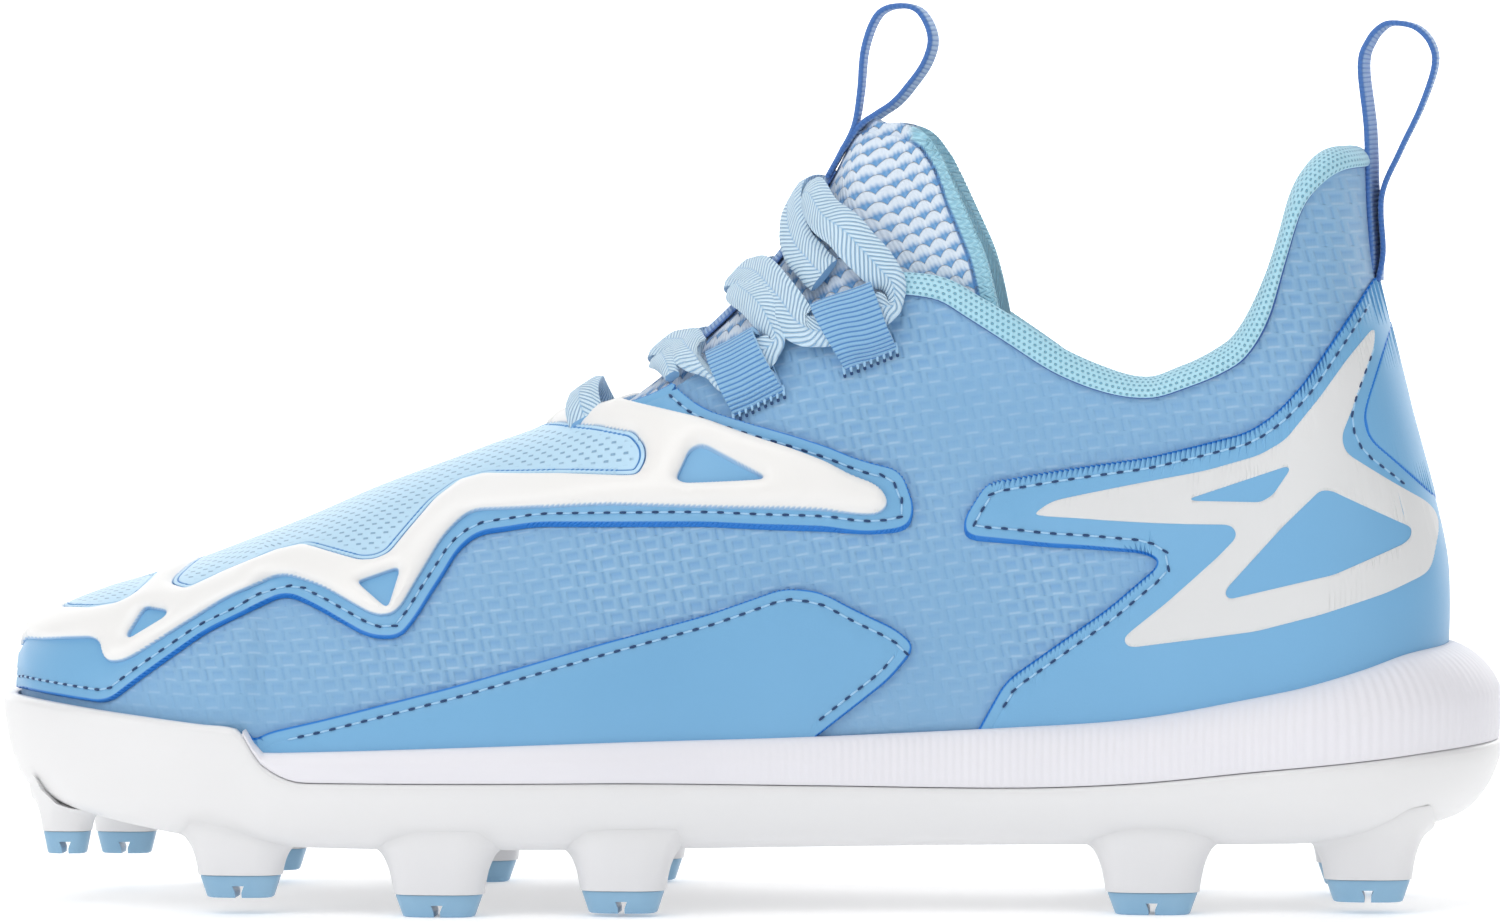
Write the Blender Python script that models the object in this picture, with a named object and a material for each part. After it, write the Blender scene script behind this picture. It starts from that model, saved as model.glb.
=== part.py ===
"""A right baseball cleat, toe towards -X, inner (medial) side towards -Y, stud tips on Z = 0.

The upper is one function of a station round the sole and a row up the wall. Every overlay, the
tongue and the collar roll are cut from the same function at another offset, so that they all fit.
"""

import math

import bmesh
import bpy
from mathutils import Vector

# Driving dimensions, in metres
LENGTH = 0.252
BALL_WIDTH = 0.090
HEEL_WIDTH = 0.066
SOLE_HEIGHT = 0.0440
INSTEP_HEIGHT = 0.080
HEEL_HEIGHT = 0.1235

WALL = 0.0022
GAP = 0.0003
PLATE = 0.0026
RIM = 0.0017
RIM_SLACK = 0.0002
RIM_ROOT = 0.0013
LIP = 0.0016
TUCK = 0.0030
INSOLE = 0.0040
INSOLE_ROUND = 0.0010
RELIEF = 0.0060
LATERAL_DROP = 0.0030

OVERLAY = 0.0008
CAGE = 0.0010
HEEL_COUNTER = 0.0012
TONGUE_PAD = 0.0045
ROLL_HEIGHT = 0.0045
ROLL_OUT = 0.0008
ROLL_PAD = 0.0060
ROLL_SKIRT = 0.0240

LACE_WIDTH = 0.0067
LACE_THICK = 0.0016
LACE_SLACK = 0.0004
LIFT_REACH = 0.55
FOLDED = 0.84
TURNED = 0.40
WEB_WIDTH = 0.0094
WEB_THICK = 0.0011
WEB_TAIL = 0.0028
STRAP_WIDTH = 0.0100
STRAP_THICK = 0.0012
STUD_LENGTH = 0.0150
STUD_DEPTH = 0.0095
TIP_HEIGHT = 0.0037
NOTCH_WIDTH = 0.0013
NOTCH_DEPTH = 0.0020

SMALL = 0.000001

# Offsets of a lace's centre from the last: on the tongue, on the upper, in a loop, over the cage
LACE_LEVELS = (
    -WALL + LACE_THICK / 2,
    GAP + LACE_THICK / 2,
    GAP + WEB_THICK + LACE_SLACK + LACE_THICK / 2,
    GAP * 3 + OVERLAY + CAGE + LACE_THICK / 2,
)

# Stations round the sole, as shares of LENGTH from toe to heel
STATIONS = (
    0.0, 0.006, 0.020, 0.045, 0.080, 0.125, 0.170, 0.178, 0.193, 0.220, 0.265,
    0.310, 0.385, 0.400, 0.430, 0.465, 0.505, 0.545, 0.575, 0.602, 0.640,
    0.680, 0.720, 0.760, 0.800, 0.840, 0.880, 0.915, 0.950, 0.978, 0.994, 1.0,
)
ROWS = 5
CAP_END = 0.178
THROAT = 0.380
COLLAR_FRONT = 0.597
HEEL_CENTRE = 0.795

# Outline of the sole: share of LENGTH, inner half and outer half as shares of BALL_WIDTH
FOREFOOT = (
    (0.00, 0.400, 0.360),
    (0.08, 0.450, 0.395),
    (0.18, 0.490, 0.445),
    (0.28, 0.500, 0.485),
    (0.38, 0.475, 0.500),
    (0.50, 0.410, 0.470),
)
# The same, as shares of HEEL_WIDTH
REARFOOT = (
    (0.62, 0.495, 0.560),
    (0.72, 0.480, 0.510),
    (0.82, 0.490, 0.500),
    (0.90, 0.500, 0.500),
    (1.00, 0.490, 0.490),
)
TOE_ROUND, TOE_POWER = 0.175, 2.25
HEEL_ROUND, HEEL_POWER = 0.135, 2.15

# Levels of the sole: share of LENGTH, then underside, rim, band and bite as shares of SOLE_HEIGHT
LEVELS = (
    (0.000, 0.420, 0.790, 0.560, 0.640),
    (0.020, 0.395, 0.788, 0.560, 0.640),
    (0.070, 0.345, 0.765, 0.560, 0.640),
    (0.150, 0.285, 0.720, 0.560, 0.640),
    (0.178, 0.272, 0.700, 0.714, 0.720),
    (0.193, 0.266, 0.575, 0.600, 0.618),
    (0.220, 0.258, 0.505, 0.575, 0.620),
    (0.320, 0.250, 0.503, 0.580, 0.638),
    (0.420, 0.250, 0.503, 0.585, 0.655),
    (0.550, 0.254, 0.490, 0.585, 0.672),
    (0.680, 0.260, 0.480, 0.595, 0.705),
    (0.760, 0.262, 0.498, 0.620, 0.738),
    (0.840, 0.264, 0.545, 0.685, 0.820),
    (0.920, 0.280, 0.590, 0.760, 0.920),
    (0.960, 0.300, 0.615, 0.800, 0.975),
    (1.000, 0.325, 0.635, 0.825, 1.000),
)
# Footbed: share of LENGTH, top of the midsole's floor as a share of SOLE_HEIGHT
FOOTBED = (
    (0.00, 0.560),
    (0.07, 0.480),
    (0.15, 0.425),
    (0.25, 0.410),
    (0.42, 0.425),
    (0.60, 0.490),
    (0.75, 0.530),
    (1.00, 0.540),
)
# Insets from the outline: share of LENGTH, then as shares of SOLE_HEIGHT the rounding underneath
# and the bevel above the band
INSETS = (
    (0.00, 0.141, 0.020),
    (0.12, 0.150, 0.025),
    (0.178, 0.155, 0.030),
    (0.30, 0.159, 0.034),
    (0.55, 0.164, 0.045),
    (0.70, 0.182, 0.068),
    (0.80, 0.216, 0.095),
    (0.90, 0.250, 0.141),
    (1.00, 0.261, 0.177),
)
# Profile of the outsole's side: share of the rim's height, share of the rounding underneath
SIDE = ((0.00, 1.00), (0.13, 0.52), (0.42, 0.20), (0.78, 0.02))
TRAY_KNEE = 0.35

# Ridge of the last: share of LENGTH, height as a share of INSTEP_HEIGHT, powers of the section
RIDGE = (
    (0.008, 0.500, 2.3, 2.6),
    (0.020, 0.553, 2.3, 2.6),
    (0.041, 0.599, 2.3, 2.6),
    (0.066, 0.630, 2.3, 2.5),
    (0.093, 0.657, 2.2, 2.4),
    (0.147, 0.714, 2.1, 2.3),
    (0.201, 0.778, 2.0, 2.2),
    (0.255, 0.851, 1.9, 2.1),
    (0.322, 0.930, 1.8, 2.0),
    (0.376, 1.000, 1.8, 2.0),
    (0.430, 1.115, 1.8, 2.0),
    (0.472, 1.230, 1.8, 2.0),
    (0.500, 1.320, 1.8, 2.0),
    (0.525, 1.420, 1.9, 2.0),
    (0.548, 1.540, 1.9, 2.0),
    (0.569, 1.650, 2.0, 2.0),
    (0.602, 1.740, 2.0, 2.0),
    (0.640, 2.000, 2.0, 2.0),
    (0.690, 2.600, 2.0, 2.0),
    (0.800, 3.400, 2.0, 2.0),
    (1.000, 3.400, 2.0, 2.0),
)
# Throat: share of LENGTH, half width on the inner side as a share of BALL_WIDTH
THROAT_EDGE = (
    (0.380, 0.000),
    (0.392, 0.080),
    (0.412, 0.128),
    (0.443, 0.165),
    (0.489, 0.180),
    (0.525, 0.212),
    (0.560, 0.234),
    (0.597, 0.244),
)
# Topline: share of LENGTH, height as a share of HEEL_HEIGHT
TOPLINE = (
    (0.597, 0.831),
    (0.630, 0.822),
    (0.650, 0.799),
    (0.676, 0.766),
    (0.709, 0.724),
    (0.743, 0.698),
    (0.771, 0.692),
    (0.792, 0.704),
    (0.818, 0.726),
    (0.834, 0.750),
    (0.848, 0.800),
    (0.858, 0.872),
    (0.868, 0.940),
    (0.880, 0.975),
    (0.893, 0.994),
    (0.909, 1.000),
)
# Back of the heel: height as a share of HEEL_HEIGHT, reach as a share of LENGTH
BACK = (
    (0.350, 0.9600),
    (0.420, 0.9605),
    (0.480, 0.9585),
    (0.560, 0.9500),
    (0.660, 0.9370),
    (0.760, 0.9255),
    (0.850, 0.9150),
    (0.930, 0.9105),
    (1.000, 0.9090),
)

# Outlines seen from the side: share of LENGTH, height as a share of HEEL_HEIGHT
TOE_OVERLAY_EDGE = (
    (-0.050, 0.290), (0.030, 0.288), (0.088, 0.279), (0.110, 0.313), (0.153, 0.376), (0.203, 0.425),
    (0.224, 0.410), (0.262, 0.371), (0.282, 0.370), (0.292, 0.395), (0.317, 0.485), (0.330, 0.506),
    (0.367, 0.517), (0.479, 0.518), (0.590, 0.508), (0.612, 0.512), (0.617, 0.540), (0.608, 0.590),
    (0.529, 0.637), (0.475, 0.668), (0.452, 0.700), (0.430, 0.900), (-0.050, 0.900),
)
CAGE_EDGE = (
    (-0.050, 0.345), (0.018, 0.350), (0.080, 0.360), (0.086, 0.330), (0.100, 0.332), (0.165, 0.415),
    (0.200, 0.446), (0.228, 0.432), (0.266, 0.395), (0.280, 0.400), (0.306, 0.498), (0.322, 0.530),
    (0.416, 0.540), (0.517, 0.536), (0.593, 0.530), (0.600, 0.546), (0.592, 0.572), (0.476, 0.649),
    (0.419, 0.670), (0.385, 0.688), (0.368, 0.900), (-0.050, 0.900),
)
CAGE_HOLES = (
    ((0.100, 0.364), (0.125, 0.387), (0.124, 0.396), (0.108, 0.398)),
    ((0.272, 0.407), (0.279, 0.450), (0.276, 0.456), (0.252, 0.437)),
    ((0.462, 0.569), (0.516, 0.573), (0.478, 0.614), (0.469, 0.612)),
)
SIDE_PANEL_EDGE = (
    (0.196, 0.228), (0.202, 0.252), (0.234, 0.265), (0.317, 0.308), (0.410, 0.362), (0.481, 0.401),
    (0.531, 0.436), (0.556, 0.430), (0.605, 0.382), (0.618, 0.358), (0.601, 0.316), (0.558, 0.246),
    (0.420, 0.239), (0.320, 0.233), (0.220, 0.227),
)
HEEL_OVERLAY_EDGE = (
    (1.050, 0.370), (1.050, 0.869), (0.929, 0.869), (0.916, 0.855), (0.902, 0.808), (0.869, 0.707),
    (0.852, 0.670), (0.834, 0.645), (0.769, 0.611), (0.664, 0.577), (0.648, 0.525), (0.650, 0.500),
    (0.767, 0.484), (0.778, 0.471), (0.743, 0.410), (0.676, 0.313), (0.657, 0.254), (0.700, 0.260),
    (0.760, 0.269), (0.800, 0.283), (0.840, 0.300), (0.920, 0.343), (0.960, 0.366),
)
TONGUE_EDGE = (
    (0.392, 0.580), (0.392, 1.200), (0.570, 1.200), (0.592, 1.066), (0.612, 1.068), (0.625, 1.055),
    (0.639, 1.009), (0.657, 0.929), (0.669, 0.855), (0.674, 0.810), (0.665, 0.700), (0.600, 0.630),
    (0.470, 0.580),
)
# Collar roll: share of LENGTH, then shares of ROLL_HEIGHT, ROLL_PAD (inwards) and ROLL_SKIRT (down)
ROLL = (
    (0.600, 0.80, 0.00, 0.00),
    (0.690, 0.93, 0.00, 0.00),
    (0.730, 0.89, 0.50, 0.33),
    (0.770, 0.76, 0.83, 0.63),
    (0.850, 0.98, 1.00, 0.83),
    (0.909, 0.76, 1.00, 1.00),
)
# Section of the roll: share of its width from the outer face inwards, share of its height
ROLL_SECTION = ((0.00, 0.00), (0.00, 0.50), (0.25, 0.93), (0.60, 1.00), (0.92, 0.62), (1.00, 0.00))
# Its padding further down: share of the padding that is left, share of the skirt
ROLL_INSIDE = ((0.90, 0.60), (0.20, 1.00), (0.00, 1.00), (0.00, 0.50), (0.00, 0.00))
ROLL_START = 0.610
ROLL_SIZES = (ROLL_HEIGHT, ROLL_PAD, ROLL_SKIRT)

# Webbing loops: name, share of LENGTH of the middle of its top
LOOPS = (("front", 0.5005), ("rear", 0.5720))
LOOP_TILT = 0.40

# Lace strands: share of LENGTH, reach from the ridge (0) to the throat's edge (1), and how high it
# lies: 0 on the tongue, 1 on the upper, 2 in a loop, 3 over the cage. A strand runs from the rear
# of a loop on one side over the ridge to the front of the next loop on the other side.
BAR = ((0.398, -1.0, 3.0), (0.399, -0.5, 3.0), (0.400, 0.0, 2.9), (0.399, 0.5, 3.0), (0.398, 1.0, 3.0))
CROSSINGS = (
    (
        None,
        (
            (0.4575, -0.93, 1.0), (0.4525, -0.66, 0.9), (0.4470, -0.30, 0.7), (0.4480, 0.0, 0.6),
            (0.4560, 0.30, 0.6), (0.4630, 0.52, 0.8), (0.4700, 0.80, 1.3),
        ),
        "front",
    ),
    (
        "front",
        (
            (0.5300, -1.06, 1.5), (0.5260, -0.98, 1.2), (0.5195, -0.85, 1.15), (0.5030, -0.52, 0.8),
            (0.4975, -0.25, 0.7), (0.4985, 0.0, 0.6), (0.5060, 0.30, 0.6), (0.5210, 0.69, 0.9),
            (0.5350, 0.92, 1.2), (0.5450, 1.03, 1.5),
        ),
        "rear",
    ),
    (
        "rear",
        (
            (0.6055, -1.03, 1.5), (0.6040, -0.98, 1.3), (0.5930, -0.91, 1.1), (0.5760, -0.83, 0.9),
            (0.5575, -0.64, 0.7), (0.5450, -0.30, 0.6), (0.5370, 0.0, 0.6), (0.5330, 0.30, 0.5),
            (0.5370, 0.58, 0.4), (0.5480, 0.78, 0.3), (0.5560, 0.87, 0.3),
        ),
        None,
    ),
)

# Pull loops in the centre plane: share of LENGTH, height as a share of HEEL_HEIGHT
TONGUE_LOOP = (
    (0.552, 0.985), (0.561, 1.018), (0.570, 1.054), (0.574, 1.100), (0.577, 1.160), (0.586, 1.205),
    (0.600, 1.217), (0.614, 1.209), (0.622, 1.175), (0.618, 1.140), (0.606, 1.105), (0.599, 1.075),
)
HEEL_LOOP = (
    (0.920, 0.876), (0.918, 0.960), (0.916, 1.050), (0.909, 1.135), (0.913, 1.170), (0.922, 1.190),
    (0.932, 1.193), (0.944, 1.186), (0.953, 1.165), (0.955, 1.135), (0.948, 1.085), (0.936, 1.020),
    (0.928, 0.960), (0.926, 0.878),
)

# Studs: name, share of LENGTH, share of BALL_WIDTH across, shares of STUD_LENGTH and STUD_DEPTH, and
# how high the flat end stands as a share of SOLE_HEIGHT
STUDS = (
    ("inner_1", 0.050, -0.185, 0.52, 0.74, 0.195),
    ("inner_2", 0.175, -0.375, 0.89, 0.91, 0.064),
    ("inner_3", 0.307, -0.400, 0.96, 0.97, 0.000),
    ("inner_4", 0.427, -0.370, 0.91, 0.97, 0.014),
    ("outer_1", 0.072, 0.160, 0.67, 0.80, 0.141),
    ("outer_2", 0.160, 0.335, 0.89, 0.91, 0.050),
    ("outer_3", 0.300, 0.390, 0.96, 0.97, 0.000),
    ("outer_4", 0.415, 0.400, 0.91, 0.97, 0.009),
    ("inner_5", 0.772, -0.245, 1.00, 1.00, 0.000),
    ("inner_6", 0.913, -0.200, 0.93, 0.97, 0.045),
    ("outer_5", 0.765, 0.255, 1.00, 1.00, 0.000),
    ("outer_6", 0.905, 0.210, 0.93, 0.97, 0.041),
)
# Body of a stud from its tip up: shares of its length and depth, share of the height to its root
STUD_BODY = ((1.04, 1.06, 0.00), (1.14, 1.18, 0.45), (1.45, 1.50, 1.00))
TIP_TAPER = (0.84, 0.80)
CORNERS = 8
CORNER_POWER = 3.0


def smooth(table, share, column=1):
    """Reads a column of a table at a share, on a smooth curve through its rows."""
    last = len(table) - 1
    if share <= table[0][0]:
        return table[0][column]
    if share >= table[last][0]:
        return table[last][column]
    row = max(i for i in range(last) if table[i][0] <= share)

    def slope(i):
        low, high = max(i - 1, 0), min(i + 1, last)
        return (table[high][column] - table[low][column]) / (table[high][0] - table[low][0])

    start, end = table[row], table[row + 1]
    span = end[0] - start[0]
    t = (share - start[0]) / span
    rise = end[column] - start[column]
    steep = abs(3 * rise / span)
    first = max(-steep, min(steep, slope(row)))
    second = max(-steep, min(steep, slope(row + 1)))
    return (
        start[column]
        + rise * t * t * (3 - 2 * t)
        + span * (first * t * (1 - t) ** 2 - second * t * t * (1 - t))
    )


def x_at(share):
    return (share - 0.5) * LENGTH


def share_at(x):
    return x / LENGTH + 0.5


def round_end(distance, reach, power):
    if distance >= reach:
        return 1.0
    return (1 - (1 - max(distance, 0) / reach) ** power) ** (1 / power)


OUTLINE = [(s, a * BALL_WIDTH, b * BALL_WIDTH) for s, a, b in FOREFOOT] + [
    (s, a * HEEL_WIDTH, b * HEEL_WIDTH) for s, a, b in REARFOOT
]


def outline_point(share, side):
    """Plan point of the sole's outline on one side: -1 is the inner side, 1 the outer one."""
    half = smooth(OUTLINE, share, 1 if side < 0 else 2)
    half *= round_end(share, TOE_ROUND, TOE_POWER) * round_end(1 - share, HEEL_ROUND, HEEL_POWER)
    return Vector((x_at(share), side * half, 0))


def outline_normal(share, side):
    """Outward plan direction of the outline."""
    if share <= 0:
        return Vector((-1, 0, 0))
    if share >= 1:
        return Vector((1, 0, 0))
    step = min(0.004, share / 2, (1 - share) / 2)
    along = outline_point(share + step, side) - outline_point(share - step, side)
    return Vector((-side * along.y, side * along.x, 0)).normalized()


def level(share, column):
    return smooth(LEVELS, share, column) * SOLE_HEIGHT


def underside(share):
    return level(share, 1)


def rim_height(share):
    return level(share, 2)


def floor_height(share):
    return smooth(FOOTBED, share) * SOLE_HEIGHT


def bite(share):
    """Top of the midsole. Under the toe cap it is only a floor."""
    if share < CAP_END - SMALL:
        return floor_height(share) + 2 * GAP
    return level(share, 4)


def wall_foot(share):
    """Height at which the upper's wall starts to curve in."""
    return max(level(share, 4), floor_height(share) + 4 * GAP)


def rounding(share):
    return smooth(INSETS, share, 1) * SOLE_HEIGHT


def bevel(share):
    return smooth(INSETS, share, 2) * SOLE_HEIGHT


def edge_inset(share):
    """Inset of the upper's outer face from the outline at the bite line."""
    return bevel(share) + LIP + GAP


def ridge(share, offset=0.0):
    """Height of the last's ridge, moved outwards by an offset square to it."""
    step = 0.01
    rise = smooth(RIDGE, share + step) - smooth(RIDGE, share - step)
    slope = rise * INSTEP_HEIGHT / (2 * step * LENGTH)
    return smooth(RIDGE, share) * INSTEP_HEIGHT + offset * min(math.hypot(1, slope), 3)


def back_reach(z):
    """How far back the heel reaches at a height, as a share of its reach at the bite line."""
    reach = smooth(BACK, z / HEEL_HEIGHT) - HEEL_CENTRE
    return reach / (smooth(BACK, SOLE_HEIGHT / HEEL_HEIGHT) - HEEL_CENTRE)


def top_height(share, side):
    """Height of the topline behind the throat."""
    drop = LATERAL_DROP if side > 0 else 0
    away = max(0, 1 - ((share - 0.74) / 0.14) ** 2)
    return smooth(TOPLINE, share) * HEEL_HEIGHT - drop * away


def bite_point(share, side, offset):
    """Plan point of the upper's wall at the bite line."""
    inset = edge_inset(share) - offset
    return outline_point(share, side) - outline_normal(share, side) * inset


def middle_of(share, offset):
    """Where both walls of a station meet on the ridge, along the length."""
    return (bite_point(share, -1, offset).x + bite_point(share, 1, offset).x) / 2


def wall_point(share, side, offset, turn):
    """Point of the last at a turn from 0 at the bite line to 1 at the ridge."""
    base = bite_point(share, side, offset)
    middle = middle_of(share, offset)
    here = min(share_at(middle), HEEL_CENTRE)
    low = wall_foot(share)
    high = ridge(here, offset)
    across = smooth(RIDGE, here, 2)
    up = smooth(RIDGE, here, 3)
    angle = turn * math.pi / 2
    z = low + (high - low) * math.sin(angle) ** (2 / up)
    y = base.y * max(math.cos(angle), 0) ** (2 / across)
    x = base.x + (middle - base.x) * math.sin(angle) ** 2
    centre = x_at(HEEL_CENTRE)
    if x > centre:
        x = centre + (x - centre) * back_reach(z)
    return Vector((x, y, z))


def top_turn(share, side):
    """The turn at which the wall ends: the ridge, the throat's edge or the topline."""
    base = bite_point(share, -1, 0.0)
    here = min(share_at(middle_of(share, 0.0)), HEEL_CENTRE)
    if here <= THROAT:
        return 1.0
    across = smooth(RIDGE, here, 2)
    if here < COLLAR_FRONT:
        half = smooth(THROAT_EDGE, here) * BALL_WIDTH
        ratio = min(1, half / abs(base.y))
        return math.acos(ratio ** (across / 2)) * 2 / math.pi
    low, high = 0.0, 1.0
    for _ in range(24):
        turn = (low + high) / 2
        point = wall_point(share, side, 0.0, turn)
        if point.z < top_height(share_at(point.x), side):
            low = turn
        else:
            high = turn
    return low


def column(share, side, offset, beyond=0):
    """One column of the last from its feather edge to its top, and on to the ridge if asked."""
    base = bite_point(share, side, offset)
    tucked = base - outline_normal(share, side) * TUCK
    points = [Vector((tucked.x, tucked.y, floor_height(share) + 3 * GAP))]
    end = top_turn(share, side)
    for row in range(ROWS + 1):
        points.append(wall_point(share, side, offset, end * row / ROWS))
    for row in range(beyond):
        points.append(wall_point(share, side, offset, end + (1 - end) * (row + 1) / beyond))
    return points


def key(point):
    return tuple(round(value, 7) for value in point)


def make_object(name, faces, material, collection):
    """One mesh from faces given as points; points that coincide become one."""
    index, points, polygons = {}, [], []
    for face in faces:
        corners = []
        for point in face:
            place = key(point)
            if place not in index:
                index[place] = len(points)
                points.append(place)
            if index[place] not in corners:
                corners.append(index[place])
        if len(corners) > 2:
            polygons.append(corners)
    mesh = bpy.data.meshes.new(name)
    mesh.from_pydata(points, [], polygons)
    work = bmesh.new()
    work.from_mesh(mesh)
    bmesh.ops.recalc_face_normals(work, faces=work.faces)
    work.to_mesh(mesh)
    work.free()
    mesh.materials.append(material)
    mesh.shade_smooth()
    mesh.set_sharp_from_angle(angle=math.radians(40))
    obj = bpy.data.objects.new(name, mesh)
    collection.objects.link(obj)
    return obj


def patch(grid):
    """Faces between neighbouring columns of points."""
    faces = []
    for left, right in zip(grid, grid[1:]):
        for row in range(len(left) - 1):
            faces.append((left[row], left[row + 1], right[row + 1]))
            faces.append((left[row], right[row + 1], right[row]))
    return faces


def ring(inset, height, shares=STATIONS):
    """Closed ring of points round the sole at an inset and a height that follow the length."""
    points = []
    for side, row in ((-1, shares), (1, shares[-2:0:-1])):
        for share in row:
            point = outline_point(share, side) - outline_normal(share, side) * inset(share)
            points.append(Vector((point.x, point.y, height(share))))
    return points


def between(first, second):
    faces = []
    count = len(first)
    for i in range(count):
        j = (i + 1) % count
        faces.append((first[i], first[j], second[j]))
        faces.append((first[i], second[j], second[i]))
    return faces


def floor_faces(points):
    """Strips across a ring, from its inner side to its outer one."""
    half = len(points) // 2
    faces = []
    for i in range(half):
        other, after = -i % len(points), -(i + 1) % len(points)
        faces.append((points[i], points[i + 1], points[after], points[other]))
    return faces


def stack(name, rings, material, collection):
    faces = floor_faces(rings[0]) + floor_faces(rings[-1])
    for first, second in zip(rings, rings[1:]):
        faces += between(first, second)
    return make_object(name, faces, material, collection)


def shell(name, outside, inside, first, last, material_, collection, beyond=0):
    """Solid between two offsets of the last, open underneath and at the throat and collar."""
    shares = [s for s in STATIONS if first <= s <= last]
    faces = []
    for side in (-1, 1):
        outer = [column(s, side, outside, beyond) for s in shares]
        inner = [column(s, side, inside, beyond) for s in shares]
        faces += patch(outer) + patch(inner)
        for i in range(len(shares) - 1):
            a, b, c, d = outer[i], outer[i + 1], inner[i + 1], inner[i]
            faces.append((a[0], b[0], c[0], d[0]))
            if abs(a[-1].y) > SMALL or abs(b[-1].y) > SMALL:
                faces.append((a[-1], b[-1], c[-1], d[-1]))
        for i, end in ((0, first > 0), (-1, last < 1)):
            if end:
                a, b = outer[i], inner[i]
                faces += [(a[r], a[r + 1], b[r + 1], b[r]) for r in range(len(a) - 1)]
    return make_object(name, faces, material_, collection)


def prism(name, outline, y_low, y_high, cutters):
    """A cutter with an outline seen from the side."""
    low = [Vector((x_at(s), y_low, h * HEEL_HEIGHT)) for s, h in outline]
    high = [Vector((p.x, y_high, p.z)) for p in low]
    faces = [tuple(low), tuple(high)]
    for i in range(len(low)):
        j = (i + 1) % len(low)
        faces.append((low[i], low[j], high[j], high[i]))
    obj = make_object(name, faces, MATERIALS["cutter"], cutters)
    obj.hide_render = True
    obj.display_type = "WIRE"
    return obj


def boolean(obj, cutter, operation):
    modifier = obj.modifiers.new(operation.title() + "_" + cutter.name, "BOOLEAN")
    modifier.operation = operation
    modifier.object = cutter


def material(name, colour, roughness, metallic=0.0):
    made = bpy.data.materials.new(name)
    made.use_nodes = True
    shader = made.node_tree.nodes["Principled BSDF"]
    shader.inputs["Base Color"].default_value = (*colour, 1)
    shader.inputs["Roughness"].default_value = roughness
    shader.inputs["Metallic"].default_value = metallic
    return made


def loft(name, sections, material_, collection):
    """Closed solid through rings of the same count, capped at both ends."""
    faces = [tuple(sections[0]), tuple(sections[-1])]
    for first, second in zip(sections, sections[1:]):
        faces += between(first, second)
    return make_object(name, faces, material_, collection)


def stud_ring(row, length_share, depth_share, z):
    """Ring of points with rounded corners round a stud."""
    _, share, across, length, depth, _ = row
    half_x = STUD_LENGTH * length * length_share / 2
    half_y = STUD_DEPTH * depth * depth_share / 2
    points = []
    for corner in range(CORNERS):
        angle = 2 * math.pi * (corner + 0.5) / CORNERS
        c, s = math.cos(angle), math.sin(angle)
        x = x_at(share) + math.copysign(abs(c) ** (2 / CORNER_POWER), c) * half_x
        y = across * BALL_WIDTH + math.copysign(abs(s) ** (2 / CORNER_POWER), s) * half_y
        points.append(Vector((x, y, z)))
    return points


def make_outsole(parts, cutters):
    def under_inset(part):
        return lambda s: rounding(s) * part

    def side_height(part):
        return lambda s: underside(s) + (rim_height(s) - underside(s)) * part

    rings = [ring(under_inset(inset), side_height(height)) for height, inset in SIDE]
    rings.append(ring(lambda s: GAP, rim_height))
    for row in (2, 1, 0):
        rings.append(ring(lambda s: tray_profile(s)[row][1], lambda s: tray_profile(s)[row][0]))
    outsole = stack("outsole", rings, MATERIALS["outsole"], parts)
    for row in STUDS:
        name, share, tip = row[0], row[1], row[5] * SOLE_HEIGHT
        root = underside(share) + PLATE / 2
        foot = tip + TIP_HEIGHT + GAP
        sections = [stud_ring(row, long, deep, foot + (root - foot) * up) for long, deep, up in STUD_BODY]
        body = loft("stud_body_" + name, sections, MATERIALS["outsole"], cutters)
        body.hide_render = True
        body.display_type = "WIRE"
        boolean(outsole, body, "UNION")


def make_tips(parts, cutters):
    for row in STUDS:
        name, share, across, tip = row[0], row[1], row[2], row[5] * SOLE_HEIGHT
        sections = [stud_ring(row, *TIP_TAPER, tip), stud_ring(row, 1.0, 1.0, tip + TIP_HEIGHT)]
        obj = loft("stud_tip_" + name, sections, MATERIALS["tip"], parts)
        bpy.ops.mesh.primitive_cube_add(size=1)
        notch = bpy.context.object
        notch.name = "notch_" + name
        notch.scale = (NOTCH_WIDTH, STUD_DEPTH * 2, NOTCH_DEPTH * 2)
        notch.location = (x_at(share), across * BALL_WIDTH, tip)
        notch.hide_render = True
        notch.display_type = "WIRE"
        for owner in list(notch.users_collection):
            owner.objects.unlink(notch)
        cutters.objects.link(notch)
        boolean(obj, notch, "DIFFERENCE")


def rim_inner(share):
    """Inset of the rim's inner face. The toe cap's rim reaches to the upper."""
    return edge_inset(share) - GAP - RIM_SLACK if share < CAP_END - SMALL else RIM


def tray_profile(share):
    """Inner side of the outsole, from its floor to its rim: heights and insets."""
    floor, rim = underside(share) + PLATE, rim_height(share)
    return (
        (floor, rounding(share) * SIDE[1][1] + PLATE),
        (floor + (rim - floor) * TRAY_KNEE, max(rim_inner(share), rounding(share) * SIDE[2][1] + RIM_ROOT)),
        (rim, rim_inner(share)),
    )


def tray_inset(share, z):
    """Inset of the midsole where it lies in the outsole at a height."""
    low, knee, rim = tray_profile(share)
    start, end = (low, knee) if z < knee[0] else (knee, rim)
    part = min(1, (z - start[0]) / (end[0] - start[0]))
    return start[1] + (end[1] - start[1]) * part + GAP * 1.6


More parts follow.
